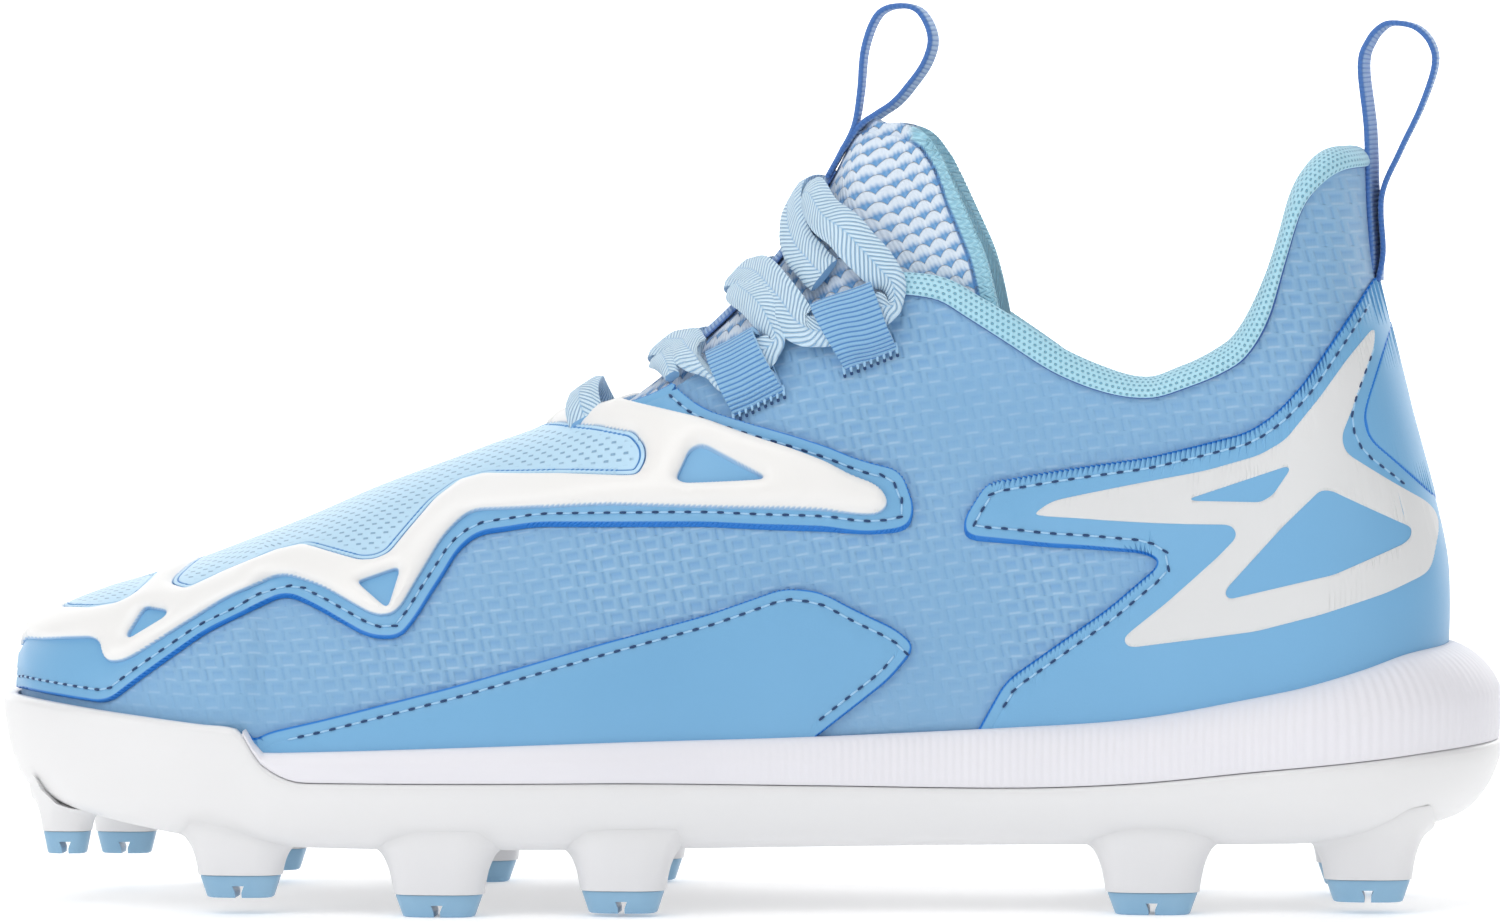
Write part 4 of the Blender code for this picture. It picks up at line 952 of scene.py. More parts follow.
def panel_material():
    """Smooth synthetic, with painted shade as a saturated blue band along its cut edge."""
    shade = Shade("panel_satin", 0.46, coat=0.12, specular=0.45)
    away, _ = shade.uv("edge")
    cloud = shade.noise(24.0, 2.0)
    grain = shade.noise(2600.0, 2.0)
    base = shade.mix(cloud, rgb(112, 170, 213), rgb(124, 181, 222))
    # Painted shade: a saturated blue band within half a millimetre of the cut edge
    rim = away.step(0.50, 0.25)
    shade.colour(shade.mix(rim, base, PANEL_EDGE_SHADE))
    shade.bump(grain, 0.00004, 0.5)
    shade.rough(grain * 0.12 + 0.40)
    return shade.made


def cage_material():
    shade = Shade("cage_white", 0.40, coat=0.15, specular=0.45, subsurface=0.05)
    away, _ = shade.uv("edge")
    grain = shade.noise(2200.0, 2.0)
    cloud = shade.noise(18.0, 2.0)
    base = shade.mix(cloud, rgb(238, 236, 233), rgb(245, 245, 245))
    # Painted shade: a bluish tint along the cut edge
    shade.colour(shade.mix(away.step(0.22, 0.02), base, rgb(150, 190, 226)))
    shade.bump(grain, 0.00003, 0.5)
    shade.rough(grain * 0.1 + 0.34)
    return shade.made


def web_material():
    shade = Shade("web_film", 0.5, specular=0.4)
    grain = shade.noise(1500.0, 2.0)
    shade.colour(shade.mix(shade.noise(20.0), rgb(218, 219, 220), rgb(226, 227, 228)))
    shade.bump(grain, 0.00003, 0.4)
    shade.rough(grain * 0.1 + 0.42)
    return shade.made


def inset_material():
    """Moulded light-blue field with a groove inside its border and rows of small dashes, with painted shade
    in darker blue at its edge and in the groove.
    """
    shade = Shade("inset_blue", 0.42, coat=0.1)
    away, _ = shade.uv("edge")
    u, v = shade.uv("cloth")
    row = (v + u * 0.10) * (1 / 1.28)
    across = u * (1 / 2.20) + row.floor() * 0.5
    dash = across.frac().step(0.10, 0.20) * across.frac().step(0.56, 0.46)
    dash = dash * row.frac().step(0.25, 0.40) * row.frac().step(0.78, 0.62)
    dash = dash * away.step(1.5, 2.6)
    base = shade.mix(shade.noise(26.0), rgb(178, 216, 241), rgb(194, 226, 246))
    fine = shade.mix(dash * 0.75, base, rgb(104, 146, 182))
    # Painted shade: a darker blue line in the groove and along the very edge
    groove = away.step(0.70, 0.85) * away.step(1.12, 0.97)
    rim = away.step(0.22, 0.06)
    shade.colour(shade.mix((groove + rim * 0.8).least(1.0), fine, rgb(70, 140, 205)))
    shade.bump(dash * -1.0, 0.00015, 0.8)
    return shade.made


def knit_material():
    """Chunky knit: rounded scales in slanted rows, pale on top and blue where they tuck in."""
    shade = Shade("tongue_knit", 0.85, sheen=0.3)
    u, v = shade.uv("cloth")
    away, _ = shade.uv("edge")
    row = (v - u * 0.42) * (1 / SCALE_HIGH)
    line = row.floor()
    across = (u + v * 0.20) * (1 / SCALE_LONG) + line * 0.5
    side = (across.frac() - 0.5) * 2.0
    arch = row.frac() + side * side * 0.42
    over = arch.step(1.02, 0.94)
    body = (arch * over).least(1.0)
    strands = (across * 4.0 + row * 1.0).wave() * 0.10
    lobes = body * (side.size() * -0.35 + 1.0) + strands
    behind = shade.place(0).step(0.0268, 0.0285)
    bound = away.step(3.7, 3.3) * behind
    zigzag = ((v * 0.62).wave() * 0.9 + away * 0.9).wave()
    tall = lobes * (bound * -1.0 + 1.0) + bound * zigzag * 0.25
    knitted = shade.mix(lobes.step(-0.02, 0.52), KNIT_DARK, KNIT_LIGHT)
    binding = shade.mix(zigzag * 0.5, TEAL_LIGHT, rgb(122, 182, 210))
    joined = shade.mix(bound, knitted, binding)
    line = away.step(3.0, 3.3) * away.step(4.1, 3.7) * behind
    shade.colour(shade.mix(line * 0.85, joined, rgb(64, 122, 186)))
    shade.bump(tall, 0.0008, 1.0)
    return shade.made


def mesh_material():
    """Pale teal spacer mesh with darker dots in offset rows."""
    shade = Shade("collar_mesh", 0.8, sheen=0.35)
    u, v = shade.uv("cloth")
    pitch = 1.05
    row = v * (1 / (pitch * 0.86))
    across = u * (1 / pitch) + row.floor() * 0.5
    a, b = across.frac() - 0.5, row.frac() - 0.5
    dot = (a * a + b * b).step(0.085, 0.025)
    base = shade.mix(shade.noise(60.0), rgb(158, 212, 234), rgb(182, 226, 240))
    shade.colour(shade.mix(dot * 0.75, base, TEAL_DARK))
    shade.bump(dot * -1.0 + (u * 1.9).wave() * 0.1, 0.0003, 0.9)
    return shade.made


def lace_material():
    """Herringbone of fine slanted yarns."""
    shade = Shade("lace_weave", 0.75, sheen=0.3)
    u, v = shade.uv("cloth")
    yarn = (u * 0.95 + v.size() * 1.1).frac()
    crest = yarn.step(0.0, 0.30) * yarn.step(1.0, 0.70)
    middle = v.size().step(0.35, 0.0)
    tall = crest * (middle * -0.6 + 1.0)
    base = shade.mix(shade.noise(90.0), LACE_LIGHT, rgb(214, 236, 250))
    shade.colour(shade.mix(tall.step(0.7, 0.0), base, LACE_DARK))
    shade.bump(tall, 0.00028, 0.9)
    return shade.made


def webbing_material():
    """Grosgrain: fine ribs across the band."""
    shade = Shade("webbing_ribs", 0.7, sheen=0.2)
    u, v = shade.uv("cloth")
    rib = (u * (1 / 0.85)).wave()
    fine = (v * 2.2).wave()
    tall = rib + fine * 0.15
    base = shade.mix(shade.noise(70.0), WEBBING_LIGHT, rgb(146, 194, 230))
    shade.colour(shade.mix(rib.step(0.45, 0.0), base, WEBBING_DARK))
    shade.bump(tall, 0.00025, 0.9)
    return shade.made


def strap_material():
    """Narrow strap: a ribbed face with darker edges."""
    shade = Shade("strap_ribs", 0.7, sheen=0.2)
    u, v = shade.uv("cloth")
    rib = (u * (1 / 0.8)).wave()
    border = v.size().step(4.0, 4.9)
    base = shade.mix(rib.step(0.5, 0.0), rgb(150, 184, 224), rgb(98, 142, 204))
    shade.colour(shade.mix(border, base, rgb(66, 116, 190)))
    shade.bump(rib + (v * 1.8).wave() * 0.3, 0.0002, 0.9)
    return shade.made


def foam_material():
    shade = Shade("midsole_foam", 0.55, specular=0.4, subsurface=0.08)
    u, v = shade.uv("cloth")
    ribs = (u * (1 / 1.35)).wave() * v.step(0.05, 0.2) * v.step(0.98, 0.7)
    band = u.step(118.0, 190.0) * 0.9
    grain = shade.noise(1400.0, 3.0)
    shade.colour(shade.mix(shade.noise(22.0), rgb(228, 227, 234), rgb(238, 237, 242)))
    shade.bump(ribs * band, 0.00012, 0.8)
    shade.bump(grain, 0.00005, 0.5)
    shade.rough(grain * 0.15 + 0.45)
    return shade.made


def plastic_material():
    shade = Shade("outsole_plastic", 0.36, coat=0.15, specular=0.5, subsurface=0.10)
    grain = shade.noise(900.0, 3.0)
    # Painted shade: the plastic grows darker towards the floor
    low = shade.place(2).step(0.020, 0.004)
    shade.colour(shade.mix(low * 0.5, rgb(231, 231, 232), rgb(218, 218, 222)))
    shade.bump(grain, 0.00004, 0.5)
    shade.rough(grain * 0.14 + 0.30)
    return shade.made


def tip_material():
    shade = Shade("tip_blue", 0.40, coat=0.1)
    grain = shade.noise(900.0, 2.0)
    shade.colour(shade.mix(shade.noise(160.0), rgb(128, 172, 204), rgb(146, 186, 214)))
    shade.bump(grain, 0.00004, 0.5)
    shade.rough(grain * 0.14 + 0.34)
    return shade.made


def plain_cloth(name, low, high, pitch=0.9):
    """Fine woven cloth for what lies inside and for threads."""
    shade = Shade(name, 0.85, sheen=0.2)
    u, v = shade.uv("cloth")
    weave = (u * (1 / pitch)).wave() * (v * (1 / pitch)).wave()
    shade.colour(shade.mix(weave * 0.5 + shade.noise(300.0) * 0.5, low, high))
    shade.bump(weave, 0.00012, 0.8)
    return shade.made


def thread_material(name, low, high):
    shade = Shade(name, 0.7, sheen=0.2)
    twist = shade.noise(1800.0, 2.0, (1.0, 1.0, 2.5))
    shade.colour(shade.mix(twist, low, high))
    shade.bump(twist, 0.00006, 0.6)
    return shade.made


MADE = {
    "cloth": cloth_material(),
    "panel": panel_material(),
    "cage": cage_material(),
    "web": web_material(),
    "inset": inset_material(),
    "knit": knit_material(),
    "mesh": mesh_material(),
    "lace": lace_material(),
    "webbing": webbing_material(),
    "strap": strap_material(),
    "foam": foam_material(),
    "plastic": plastic_material(),
    "tip": tip_material(),
    "lining": plain_cloth("lining_cloth", LINING_BLUE, rgb(120, 168, 212)),
    "insole": plain_cloth("insole_cloth", INSOLE_BLUE, rgb(150, 192, 226), 1.3),
    "thread": thread_material("thread_pale", rgb(140, 190, 228), rgb(176, 214, 240)),
    "hole": thread_material("stitch_hole", HOLE_NAVY, rgb(30, 74, 126)),
    "seam_shadow_navy": thread_material("seam_shadow", rgb(30, 66, 134), rgb(60, 112, 186)),
}


def cloth_uv(points):
    """Cloth coordinates in millimetres: along the shoe, and up the wall from the bite line."""
    up = np.linalg.norm(np.diff(points, axis=1), axis=2)
    up = np.concatenate([np.zeros((len(points), 1)), np.cumsum(up, 1)], 1)
    return np.stack([points[..., 0], up], -1) * 1000


def make_upper():
    """The hollow cloth upper: outer face, inner face and a rounded edge at the collar and throat."""
    build = Build()
    shares = stations(230)
    parts = np.linspace(0, 1, 46)
    for side in (-1.0, 1.0):
        end = top_turn(shares, side)
        turns = end[:, None] * parts[None, :]
        outer = wall(shares[:, None], side, 0.0, turns)
        inner = wall(shares[:, None], side, -WALL, turns)
        tucked = []
        for offset in (0.0, -WALL):
            base = bite_point(shares, side, offset) - outline_normal(shares, side) * TUCK
            tucked.append(np.concatenate([base, (floor_height(shares) + 3 * GAP)[:, None]], 1))
        outer = np.concatenate([tucked[0][:, None], outer], 1)
        inner = np.concatenate([tucked[1][:, None], inner], 1)
        uv = cloth_uv(outer)
        build.grid(outer, uv)
        build.grid(inner, uv, slot=1)
        build.grid(np.stack([outer[:, 0], inner[:, 0]], 1), slot=1)
        rim = wall(shares, side, -WALL / 2, end)
        rim[:, 2] += WALL * 0.25
        edge_rows = np.stack([outer[:, -1], outer[:, -1] * 0.35 + rim * 0.65, rim,
                              inner[:, -1] * 0.35 + rim * 0.65, inner[:, -1]], 1)
        wide = shares > THROAT
        build.grid(edge_rows[wide], slot=1)
        last = np.nonzero(~wide)[0][-1]
        build.grid(edge_rows[last : last + 2][:, [0, 4]], slot=1)
    return build.finish("upper_cloth", [MADE["cloth"], MADE["lining"]], ("upper",))


PANEL_GRID = 1.7
PANEL_STEP = 0.9
HOLE_ROUND = 0.9
HOLE_STEP = 0.7
PANEL_ANGLE = 30
FLAT_BACK = ((0.0, 0.0), (9.0, 0.0))


def mirrored(plane, sign):
    """Points of the inner side's plane, put on the side that the sign gives."""
    return plane * np.array([1.0, -sign])


def throat_cut():
    """The throat's opening as a closed outline."""
    at = stations(160, THROAT, 0.64)
    path = to_plane(at, -(1 - top_turn(at, -1.0)))
    path[0, 1] = 0.0
    return np.concatenate([path, [[path[-1, 0], 0.0]]])


def inset_rings(loop, rings):
    """Points at each ring's distance to both sides of an outline, each list with its distance."""
    real, on_bite = open_runs(loop)
    edged = real & ~on_bite
    edged = edged | np.roll(edged, 1)
    share, lean = from_plane(loop)
    lean = np.minimum(lean, -1e-4)
    spots = surface(share, lean)
    along = unit(np.roll(spots, -1, 0) - np.roll(spots, 1, 0))
    across = np.cross(outward_at(share, lean), along)
    found = []
    for inset in rings:
        for sign in (-1, 1):
            s, l = slide(share, lean, across * (inset * MM * sign))
            found.append((to_plane(s, np.minimum(l, -1e-5))[edged], inset))
    return found


def cut_edges(loops, sides):
    """Starts and ends, on the last, of the segments that are cut edges of a panel."""
    starts, ends = [], []
    for loop in loops:
        real, on_bite = open_runs(loop)
        after = np.roll(loop, -1, 0)
        within = inside(near_side((loop + after) / 2 + 1e-9, 0), loops[0])
        kept = real & ~on_bite & (within | (loop is loops[0]))
        for sign in sides:
            for tips, found in ((loop, starts), (after, ends)):
                share, lean = from_plane(mirrored(tips[kept], sign))
                found.append(surface(share, np.where(lean == 0, sign * 1e-6, lean)))
    return np.concatenate(starts), np.concatenate(ends)


def lattice(main):
    """A square grid of points of the plane over an outline's reach."""
    low_p, high_p = main[:, 0].min() - 0.002, main[:, 0].max() + 0.002
    low_q = main[:, 1].min() - 0.002
    p = np.arange(0, ARC_TOTAL + PANEL_GRID * MM, PANEL_GRID * MM)
    p[-1] = ARC_TOTAL
    p = p[(p > low_p) & (p < high_p)]
    q = -np.arange(0, GIRTH + 1e-9, PANEL_GRID * MM)
    q = q[q > low_q]
    return np.stack(np.meshgrid(p, q, indexing="ij"), -1).reshape(-1, 2)


def rim_walls(plane, faces):
    """Quads from a sheet's open edge to its underside, without those on a seam of the plane."""
    pairs = np.sort(np.concatenate([faces[:, [0, 1]], faces[:, [1, 2]], faces[:, [2, 0]]]), 1)
    unique, counts = np.unique(pairs, axis=0, return_counts=True)
    rim = unique[counts == 1]
    at = plane[rim][..., 0]
    rim = rim[~((at < 1e-6).all(1) | (at > ARC_TOTAL - 1e-6).all(1))]
    return np.stack([rim[:, 0], rim[:, 1], rim[:, 1] + len(plane), rim[:, 0] + len(plane)], -1)


def panel(name, outline, made, low, profile, rings, side=0, holes=(), throat=False, radius=2.5,
          sheet=GRID, back=FLAT_BACK, metric=None, replaced=()):
    """A sheet cut from the last by an outline seen from the side.

    The profile gives its top's offset over the distance to its edge, both in millimetres. Its
    underside lies at the low offset.
    """
    loops = [trace(outline, radius, PANEL_STEP, sheet)]
    loops += [trace(hole, HOLE_ROUND, HOLE_STEP) for hole in holes]
    if throat:
        loops.append(throat_cut())
    sides = (-1.0, 1.0) if side == 0 else (float(side),)
    turned = np.array([1.0, -1.0 if side > 0 else 1.0])
    starts, ends = cut_edges(loops, sides)

    def within(plane):
        near = near_side(plane, side)
        found = inside(near, loops[0])
        for cut in loops[1:]:
            found &= ~inside(near, cut)
        return found

    def from_edge(plane):
        share, lean = from_plane(plane)
        away, _ = distances(surface(share, lean * turned[1]), starts, ends)
        return away * 1000

    points, edges, extra = [], [], []
    for loop in loops:
        real, _ = open_runs(loop)
        count = len(loop)
        for sign in sides:
            start = len(points)
            points += mirrored(loop, sign).tolist()
            edges += [(start + i, start + (i + 1) % count) for i in range(count) if real[i]]
    for loop in loops:
        for moved, inset in inset_rings(loop, rings):
            moved = moved[within(moved * turned)]
            if len(moved):
                moved = moved[np.abs(from_edge(moved) - inset) < 0.30 * inset + 0.06]
                extra += [mirrored(moved, sign) for sign in sides]
    middle = lattice(loops[0])
    held = np.stack([np.clip(middle[:, 0], 1e-6, ARC_TOTAL - 1e-6), np.minimum(middle[:, 1], -1e-6)], -1)
    middle = middle[within(held * turned)]
    middle = middle[from_edge(middle) > max(rings) + PANEL_GRID * 0.55]
    extra += [mirrored(middle, sign) for sign in sides]

    everything = np.concatenate([np.array(points)] + extra)
    everything[:, 0] = np.clip(everything[:, 0], 0, ARC_TOTAL)
    result = delaunay_2d_cdt([Vector(p) for p in everything], edges, [], 0, 1e-7)
    plane = np.array([tuple(v) for v in result[0]])
    faces = np.array(result[2], int)
    faces = faces[within(plane[faces].mean(1))]
    used = np.unique(faces)
    renumber = np.full(len(plane), -1)
    renumber[used] = np.arange(len(used))
    plane, faces = plane[used], renumber[faces]

    share, lean = from_plane(plane)
    flat = surface(share, lean)
    away, where = distances(flat, starts, ends)
    top = surface(share, lean, low + np.interp(away * 1000, *np.array(profile).T) * MM)
    under = surface(share, lean, low + np.interp(away * 1000, *np.array(back).T) * MM)
    cloth = metric(top) if metric else np.stack([flat[:, 0] * 1000, climb(share, lean)], -1)
    edge = np.stack([away, where], -1) * 1000
    build = Build()
    build.add(top, faces, cloth, edge)
    build.add(under, faces[:, ::-1], cloth, edge)
    both = [np.concatenate(pair) for pair in ((top, under), (cloth, cloth), (edge, edge))]
    build.add(both[0], rim_walls(plane, faces), both[1], both[2])
    return build.finish(name, [made], replaced, angle=PANEL_ANGLE)


# Distance from the edge and height of the top in millimetres, and distances of the rings of points
SHEET = (
    (0.0, 0.0), (0.03, 0.62), (0.12, 0.76), (0.35, 0.80),
    (1.55, 0.80), (1.95, 0.66), (2.35, 0.80), (9.0, 0.80),
)
SHEET_RINGS = (0.04, 0.14, 0.40, 1.0, 1.55, 1.95, 2.35)
DOME = (
    (0.0, 0.0), (0.05, 0.45), (0.2, 0.75), (0.5, 1.05), (1.0, 1.35), (1.8, 1.60), (3.0, 1.75), (9.0, 1.80),
)
DOME_RINGS = (0.05, 0.20, 0.5, 1.0, 1.8, 2.8)
INSET = ((0.0, 0.0), (0.05, 0.45), (0.20, 0.62), (0.70, 0.66), (0.92, 0.40), (1.15, 0.62), (9.0, 0.80))
INSET_RINGS = (0.05, 0.20, 0.45, 0.70, 0.92, 1.15, 1.6)
FILM = ((0.0, 0.0), (0.04, 0.14), (0.15, 0.20), (9.0, 0.20))
FILM_RINGS = (0.05, 0.16, 0.6)
BACK_FILM = ((0.0, 0.0), (0.05, 0.14), (0.3, 0.26), (9.0, 0.30))
BACK_RINGS = (0.06, 0.3, 0.8)
WEB_LEVEL = 0.78 * MM
BACK_LEVEL = 0.74 * MM
BACK_ROUND = 4.0


def make_panels():
    first = GAP * 0.5
    top = first + OVERLAY
    sheets = (
        ("toe_overlay", TOE_OVERLAY_EDGE, 0, True),
        ("medial_panel", SIDE_PANEL_EDGE, -1, False),
        ("lateral_panel", SIDE_PANEL_EDGE, 1, False),
        ("heel_overlay", HEEL_OVERLAY_EDGE, 0, False),
    )
    for name, outline, side, throat in sheets:
        panel(name + "_sheet", outline, MADE["panel"], first, SHEET, SHEET_RINGS, side, throat=throat,
              replaced=(name,))
    panel("toe_cage_moulding", CAGE_EDGE, MADE["cage"], top, DOME, DOME_RINGS, throat=True,
          holes=(TOE_INSET, FOREFOOT_INSET) + CAGE_HOLES, replaced=("toe_cage",))
    for name, outline in (("toe_inset", TOE_INSET), ("forefoot_inset", FOREFOOT_INSET)):
        panel(name, outline, MADE["inset"], top, INSET, INSET_RINGS, radius=1.2)
    panel("heel_web_film", HEEL_WEB_EDGE, MADE["web"], first + WEB_LEVEL, FILM, FILM_RINGS,
          holes=HEEL_WEB_HOLES, radius=1.6)
    panel("heel_back_film", BACK_PANEL_EDGE, MADE["panel"], first + BACK_LEVEL, BACK_FILM, BACK_RINGS,
          radius=BACK_ROUND)


def capsule():
    """Unit pill: long in its first direction."""
    around = np.linspace(0, 2 * math.pi, 7, endpoint=False)
    rows = []
    for turn in np.linspace(0, math.pi, 6):
        wide = math.sin(turn) ** 0.7
        rows.append([(-math.cos(turn), wide * math.cos(a), wide * math.sin(a)) for a in around])
    return np.array(rows)


def pills(build, places, forward, outward, long, wide, thick, slot=0):
    """Small pills along a path."""
    shape = capsule() * (long, wide, thick) / 2
    for place, f, s, n in zip(places, forward, np.cross(outward, forward), outward):
        points = place + shape[..., :1] * f + shape[..., 1:2] * s + shape[..., 2:] * n
        build.grid(points, wrap=True, slot=slot)


def even(points, pitch):
    """Points at an even pitch along a path, and the directions there."""
    steps = np.linalg.norm(np.diff(points[:, :3], axis=0), axis=1)
    arc = np.concatenate([[0], np.cumsum(steps)])
    count = int(arc[-1] / pitch)
    if count < 1:
        return None
    at = (np.arange(count) + 0.5) * pitch
    place = np.stack([np.interp(at, arc, points[:, i]) for i in range(points.shape[1])], -1)
    ahead = np.stack([np.interp(at + 1e-4, arc, points[:, i]) for i in range(points.shape[1])], -1)
    behind = np.stack([np.interp(at - 1e-4, arc, points[:, i]) for i in range(points.shape[1])], -1)
    return place, unit(ahead - behind)


# Stitches, in millimetres
STITCH_PITCH = 2.7
STITCH_INSET = 1.95


def seam(build, outline, inset, offset, side, last=1.0, radius=2.5, throat=False):
    """Stitches a distance inside an outline: a pale thread with dark holes between."""
    loop = trace(outline, radius, PANEL_STEP)
    real, on_bite = open_runs(loop)
    real &= ~on_bite
    after = np.roll(loop, -1, 0)
    share, lean = from_plane((loop + after) / 2)
    lean = np.minimum(lean, -1e-4)
    along = unit(surface(*from_plane(after)) - surface(*from_plane(loop)))
    across = np.cross(outward_at(share, lean), along)
    best, kept = None, None
    for sign in (-1, 1):
        s, l = slide(share, lean, across * (inset * MM * sign), 3)
        plane = to_plane(s, np.minimum(l, -1e-5))
        hits = inside(plane, loop) if inset > 0 else ~inside(plane, loop)
        if best is None or hits[real].sum() > best:
            best, kept = hits[real].sum(), (plane, hits)
    plane, hits = kept
    starts = surface(*from_plane(loop[real]))
    ends = surface(*from_plane(after[real]))
    s, l = from_plane(plane)
    away, _ = distances(surface(s, l), starts, ends)
    good = real & hits & (np.abs(away * 1000 - abs(inset)) < 0.12 * abs(inset) + 0.05)
    good &= s <= last
    if throat:
        good &= np.abs(l) > (1 - top_turn(s, -1.0)) + 0.02
    good &= wall(s, -1.0, 0.0, 1 - np.abs(l))[..., 2] > bite(s) + 0.002
    index = np.nonzero(good)[0]
    if not len(index):
        return
    widest = np.argmax(np.diff(np.concatenate([index, [index[0] + len(loop)]])))
    order = np.roll(index, -int(widest) - 1)
    gaps = np.linalg.norm(np.diff(surface(*from_plane(plane[order])), axis=0), axis=1)
    apart = (np.abs(np.diff(order)) > 6) & (gaps > 2 * MM) | (gaps > 4 * MM)
    runs = np.split(order, np.nonzero(apart)[0] + 1)
    for run in runs:
        if len(run) < 5:
            continue
        at = plane[run]
        at[1:-1] = (at[:-2] + 2 * at[1:-1] + at[2:]) / 4
        for sign in ((-1.0, 1.0) if side == 0 else (float(side),)):
            spots = from_plane(mirrored(at, sign))
            both = np.concatenate([surface(*spots, offset), outward_at(*spots)], 1)
            found = even(both, STITCH_PITCH * MM)
            if found is None:
                continue
            place, forward = found
            normal = unit(place[:, 3:])
            ahead = unit(forward[:, :3])
            pills(build, place[:, :3], ahead, normal, 2.0 * MM, 0.38 * MM, 0.36 * MM)
            shifted = place[:, :3] + ahead * (STITCH_PITCH / 2 * MM) + normal * (0.10 * MM)
            pills(build, shifted, ahead, normal, 1.25 * MM, 0.46 * MM, 0.36 * MM, slot=1)


def make_seams():
    over = GAP * 0.5 + 0.76 * MM
    threads = [MADE["thread"], MADE["hole"]]
    sheets = (
        ("toe_overlay", TOE_OVERLAY_EDGE, 0, 1.0, True),
        ("medial_panel", SIDE_PANEL_EDGE, -1, 1.0, False),
        ("lateral_panel", SIDE_PANEL_EDGE, 1, 1.0, False),
        ("heel_overlay", HEEL_OVERLAY_EDGE, 0, 0.985, False),
    )
    for name, outline, side, last, throat in sheets:
        build = Build()
        seam(build, outline, STITCH_INSET, over, side, last, throat=throat)
        if name == "heel_overlay":
            seam(build, BACK_PANEL_EDGE, -2.3, over + 0.06 * MM, 0, 0.975, BACK_ROUND)
        build.finish(name + "_stitches", threads)


def knit_uv(points):
    """Round the tongue from its front, and height, in millimetres."""
    front = TONGUE_GRID[:, -1]
    nose = np.interp(points[:, 2], front[:, 2], front[:, 0])
    return np.stack([nose + np.hypot(points[:, 0] - nose, points[:, 1]), points[:, 2]], -1) * 1000


def make_tongue():
    """Padded knit tongue with a bound edge."""
    face = (
        (0.0, -1.9), (0.25, -1.0), (0.8, -0.30), (1.6, 0.05), (2.6, 0.0), (3.3, -0.45), (3.8, -0.35),
        (4.6, 0.0), (9.0, 0.0),
    )
    back = ((0.0, -1.9), (0.4, -2.9), (1.2, -3.7), (2.6, -4.2), (9.0, -4.4))
    rings = (0.12, 0.4, 0.8, 1.6, 2.6, 3.3, 3.8, 4.6)
    made = panel("tongue_knit", TONGUE_EDGE, MADE["knit"], TONGUE_LEVEL, face, rings, radius=2.0,
                 sheet=TONGUE_GRID, back=back, metric=knit_uv, replaced=("tongue",))


def between_points(a, b, c, d, t):
    """Catmull-Rom at a share of the way from b to c."""
    square = (2 * a - 5 * b + 4 * c - d) * t * t
    cube = (3 * b - a - 3 * c + d) * t ** 3
    return 0.5 * (2 * b + (c - a) * t + square + cube)


def closed_curve(points, per):
    """A smooth curve through closed rows of points."""
    points = np.asarray(points)
    near = [np.roll(points, k, -2) for k in (1, 0, -1, -2)]
    out = [between_points(*near, t) for t in np.arange(per) / per]
    return np.stack(out, -2).reshape(*points.shape[:-2], -1, points.shape[-1])


def open_curve(points, per):
    """A smooth curve through the points of an open path."""
    points = np.asarray(points, float)
    wide = np.concatenate([[2 * points[0] - points[1]], points, [2 * points[-1] - points[-2]]])
    out = []
    for i in range(1, len(wide) - 2):
        out += [between_points(*wide[i - 1 : i + 3], t) for t in np.arange(per) / per]
    return np.array(out + [wide[-2]])


def run_along(path):
    """Length along a path at each of its points, in millimetres."""
    return np.concatenate([[0], np.cumsum(np.linalg.norm(np.diff(path, axis=0), axis=1))]) * 1000


def run_round(rows):
    """Length round each closed row at each of its points and back at its first, in millimetres."""
    closed = np.concatenate([rows, rows[:, :1]], 1)
    girth = np.linalg.norm(np.diff(closed, axis=1), axis=2).cumsum(1) * 1000
    return np.concatenate([np.zeros((len(rows), 1)), girth], 1)


def make_roll():
    """Padded collar roll, with a dark tube along the seam under it as a painted shadow line."""
    shares = stations(110, ROLL_START, 1.0)
    share = np.concatenate([shares, shares[-2::-1]])
    side = np.concatenate([-np.ones(len(shares)), np.ones(len(shares) - 1)])
    top = plain_wall(share, side, 0.0, top_turn(share, side))
    along = unit(np.gradient(top, axis=0))
    up = unit(np.array([0, 0, 1.0]) - along * along[:, 2:])
    here = share_at(top[:, 0])
    height, pad, skirt = (
        smooth(ROLL, here, c) * size for c, size in ((1, ROLL_HEIGHT), (2, ROLL_PAD), (3, ROLL_SKIRT))
    )
    behind = -WALL - np.where(pad > 0.0002, GAP * 1.5, 0)
    lift = GAP * 0.3

    def place(offset, rise):
        station = np.clip(share + up[:, 0] * rise / LENGTH, 0, 1)
        turn = turn_at(station, side, offset, top[:, 2] + up[:, 2] * rise)
        return plain_wall(station, side, offset, turn)

    rows = []
    for inwards, rise in ROLL_SECTION:
        rows.append(place(ROLL_OUT + (behind - pad - ROLL_OUT) * inwards, lift + (height - lift) * rise))
    for left, drop in ROLL_INSIDE:
        rows.append(place(behind - pad * left, lift - skirt * drop))
    hoops = closed_curve(np.stack(rows, 1), 3)
    girth = run_round(hoops)
    uv = np.stack([np.broadcast_to(run_along(top)[:, None], girth.shape), girth], -1)
    build = Build()
    build.column(hoops, uv)
    made = build.finish("collar_roll", [MADE["mesh"]], ("collar_lining",), angle=60)
    # Painted shadow: a thin dark tube along the seam
    line = top + [0, 0, 0.0002]
    line[:, 1] += side * 0.0002
    tube(line, 0.0003, "collar_seam_shadow", MADE["seam_shadow_navy"])


def tube(path, radius, name, made):
    """Thin round line along a path."""
    along = unit(np.gradient(path, axis=0))
    side = unit(np.cross(along, [0, 0, 1.0]))
    up = np.cross(side, along)
    angles = np.linspace(0, 2 * math.pi, 8, endpoint=False)
    turned = side[:, None] * np.cos(angles)[None, :, None] + up[:, None] * np.sin(angles)[None, :, None]
    build = Build()
    build.column(path[:, None] + radius * turned)
    return build.finish(name, [made])


BAND_LANES = 8


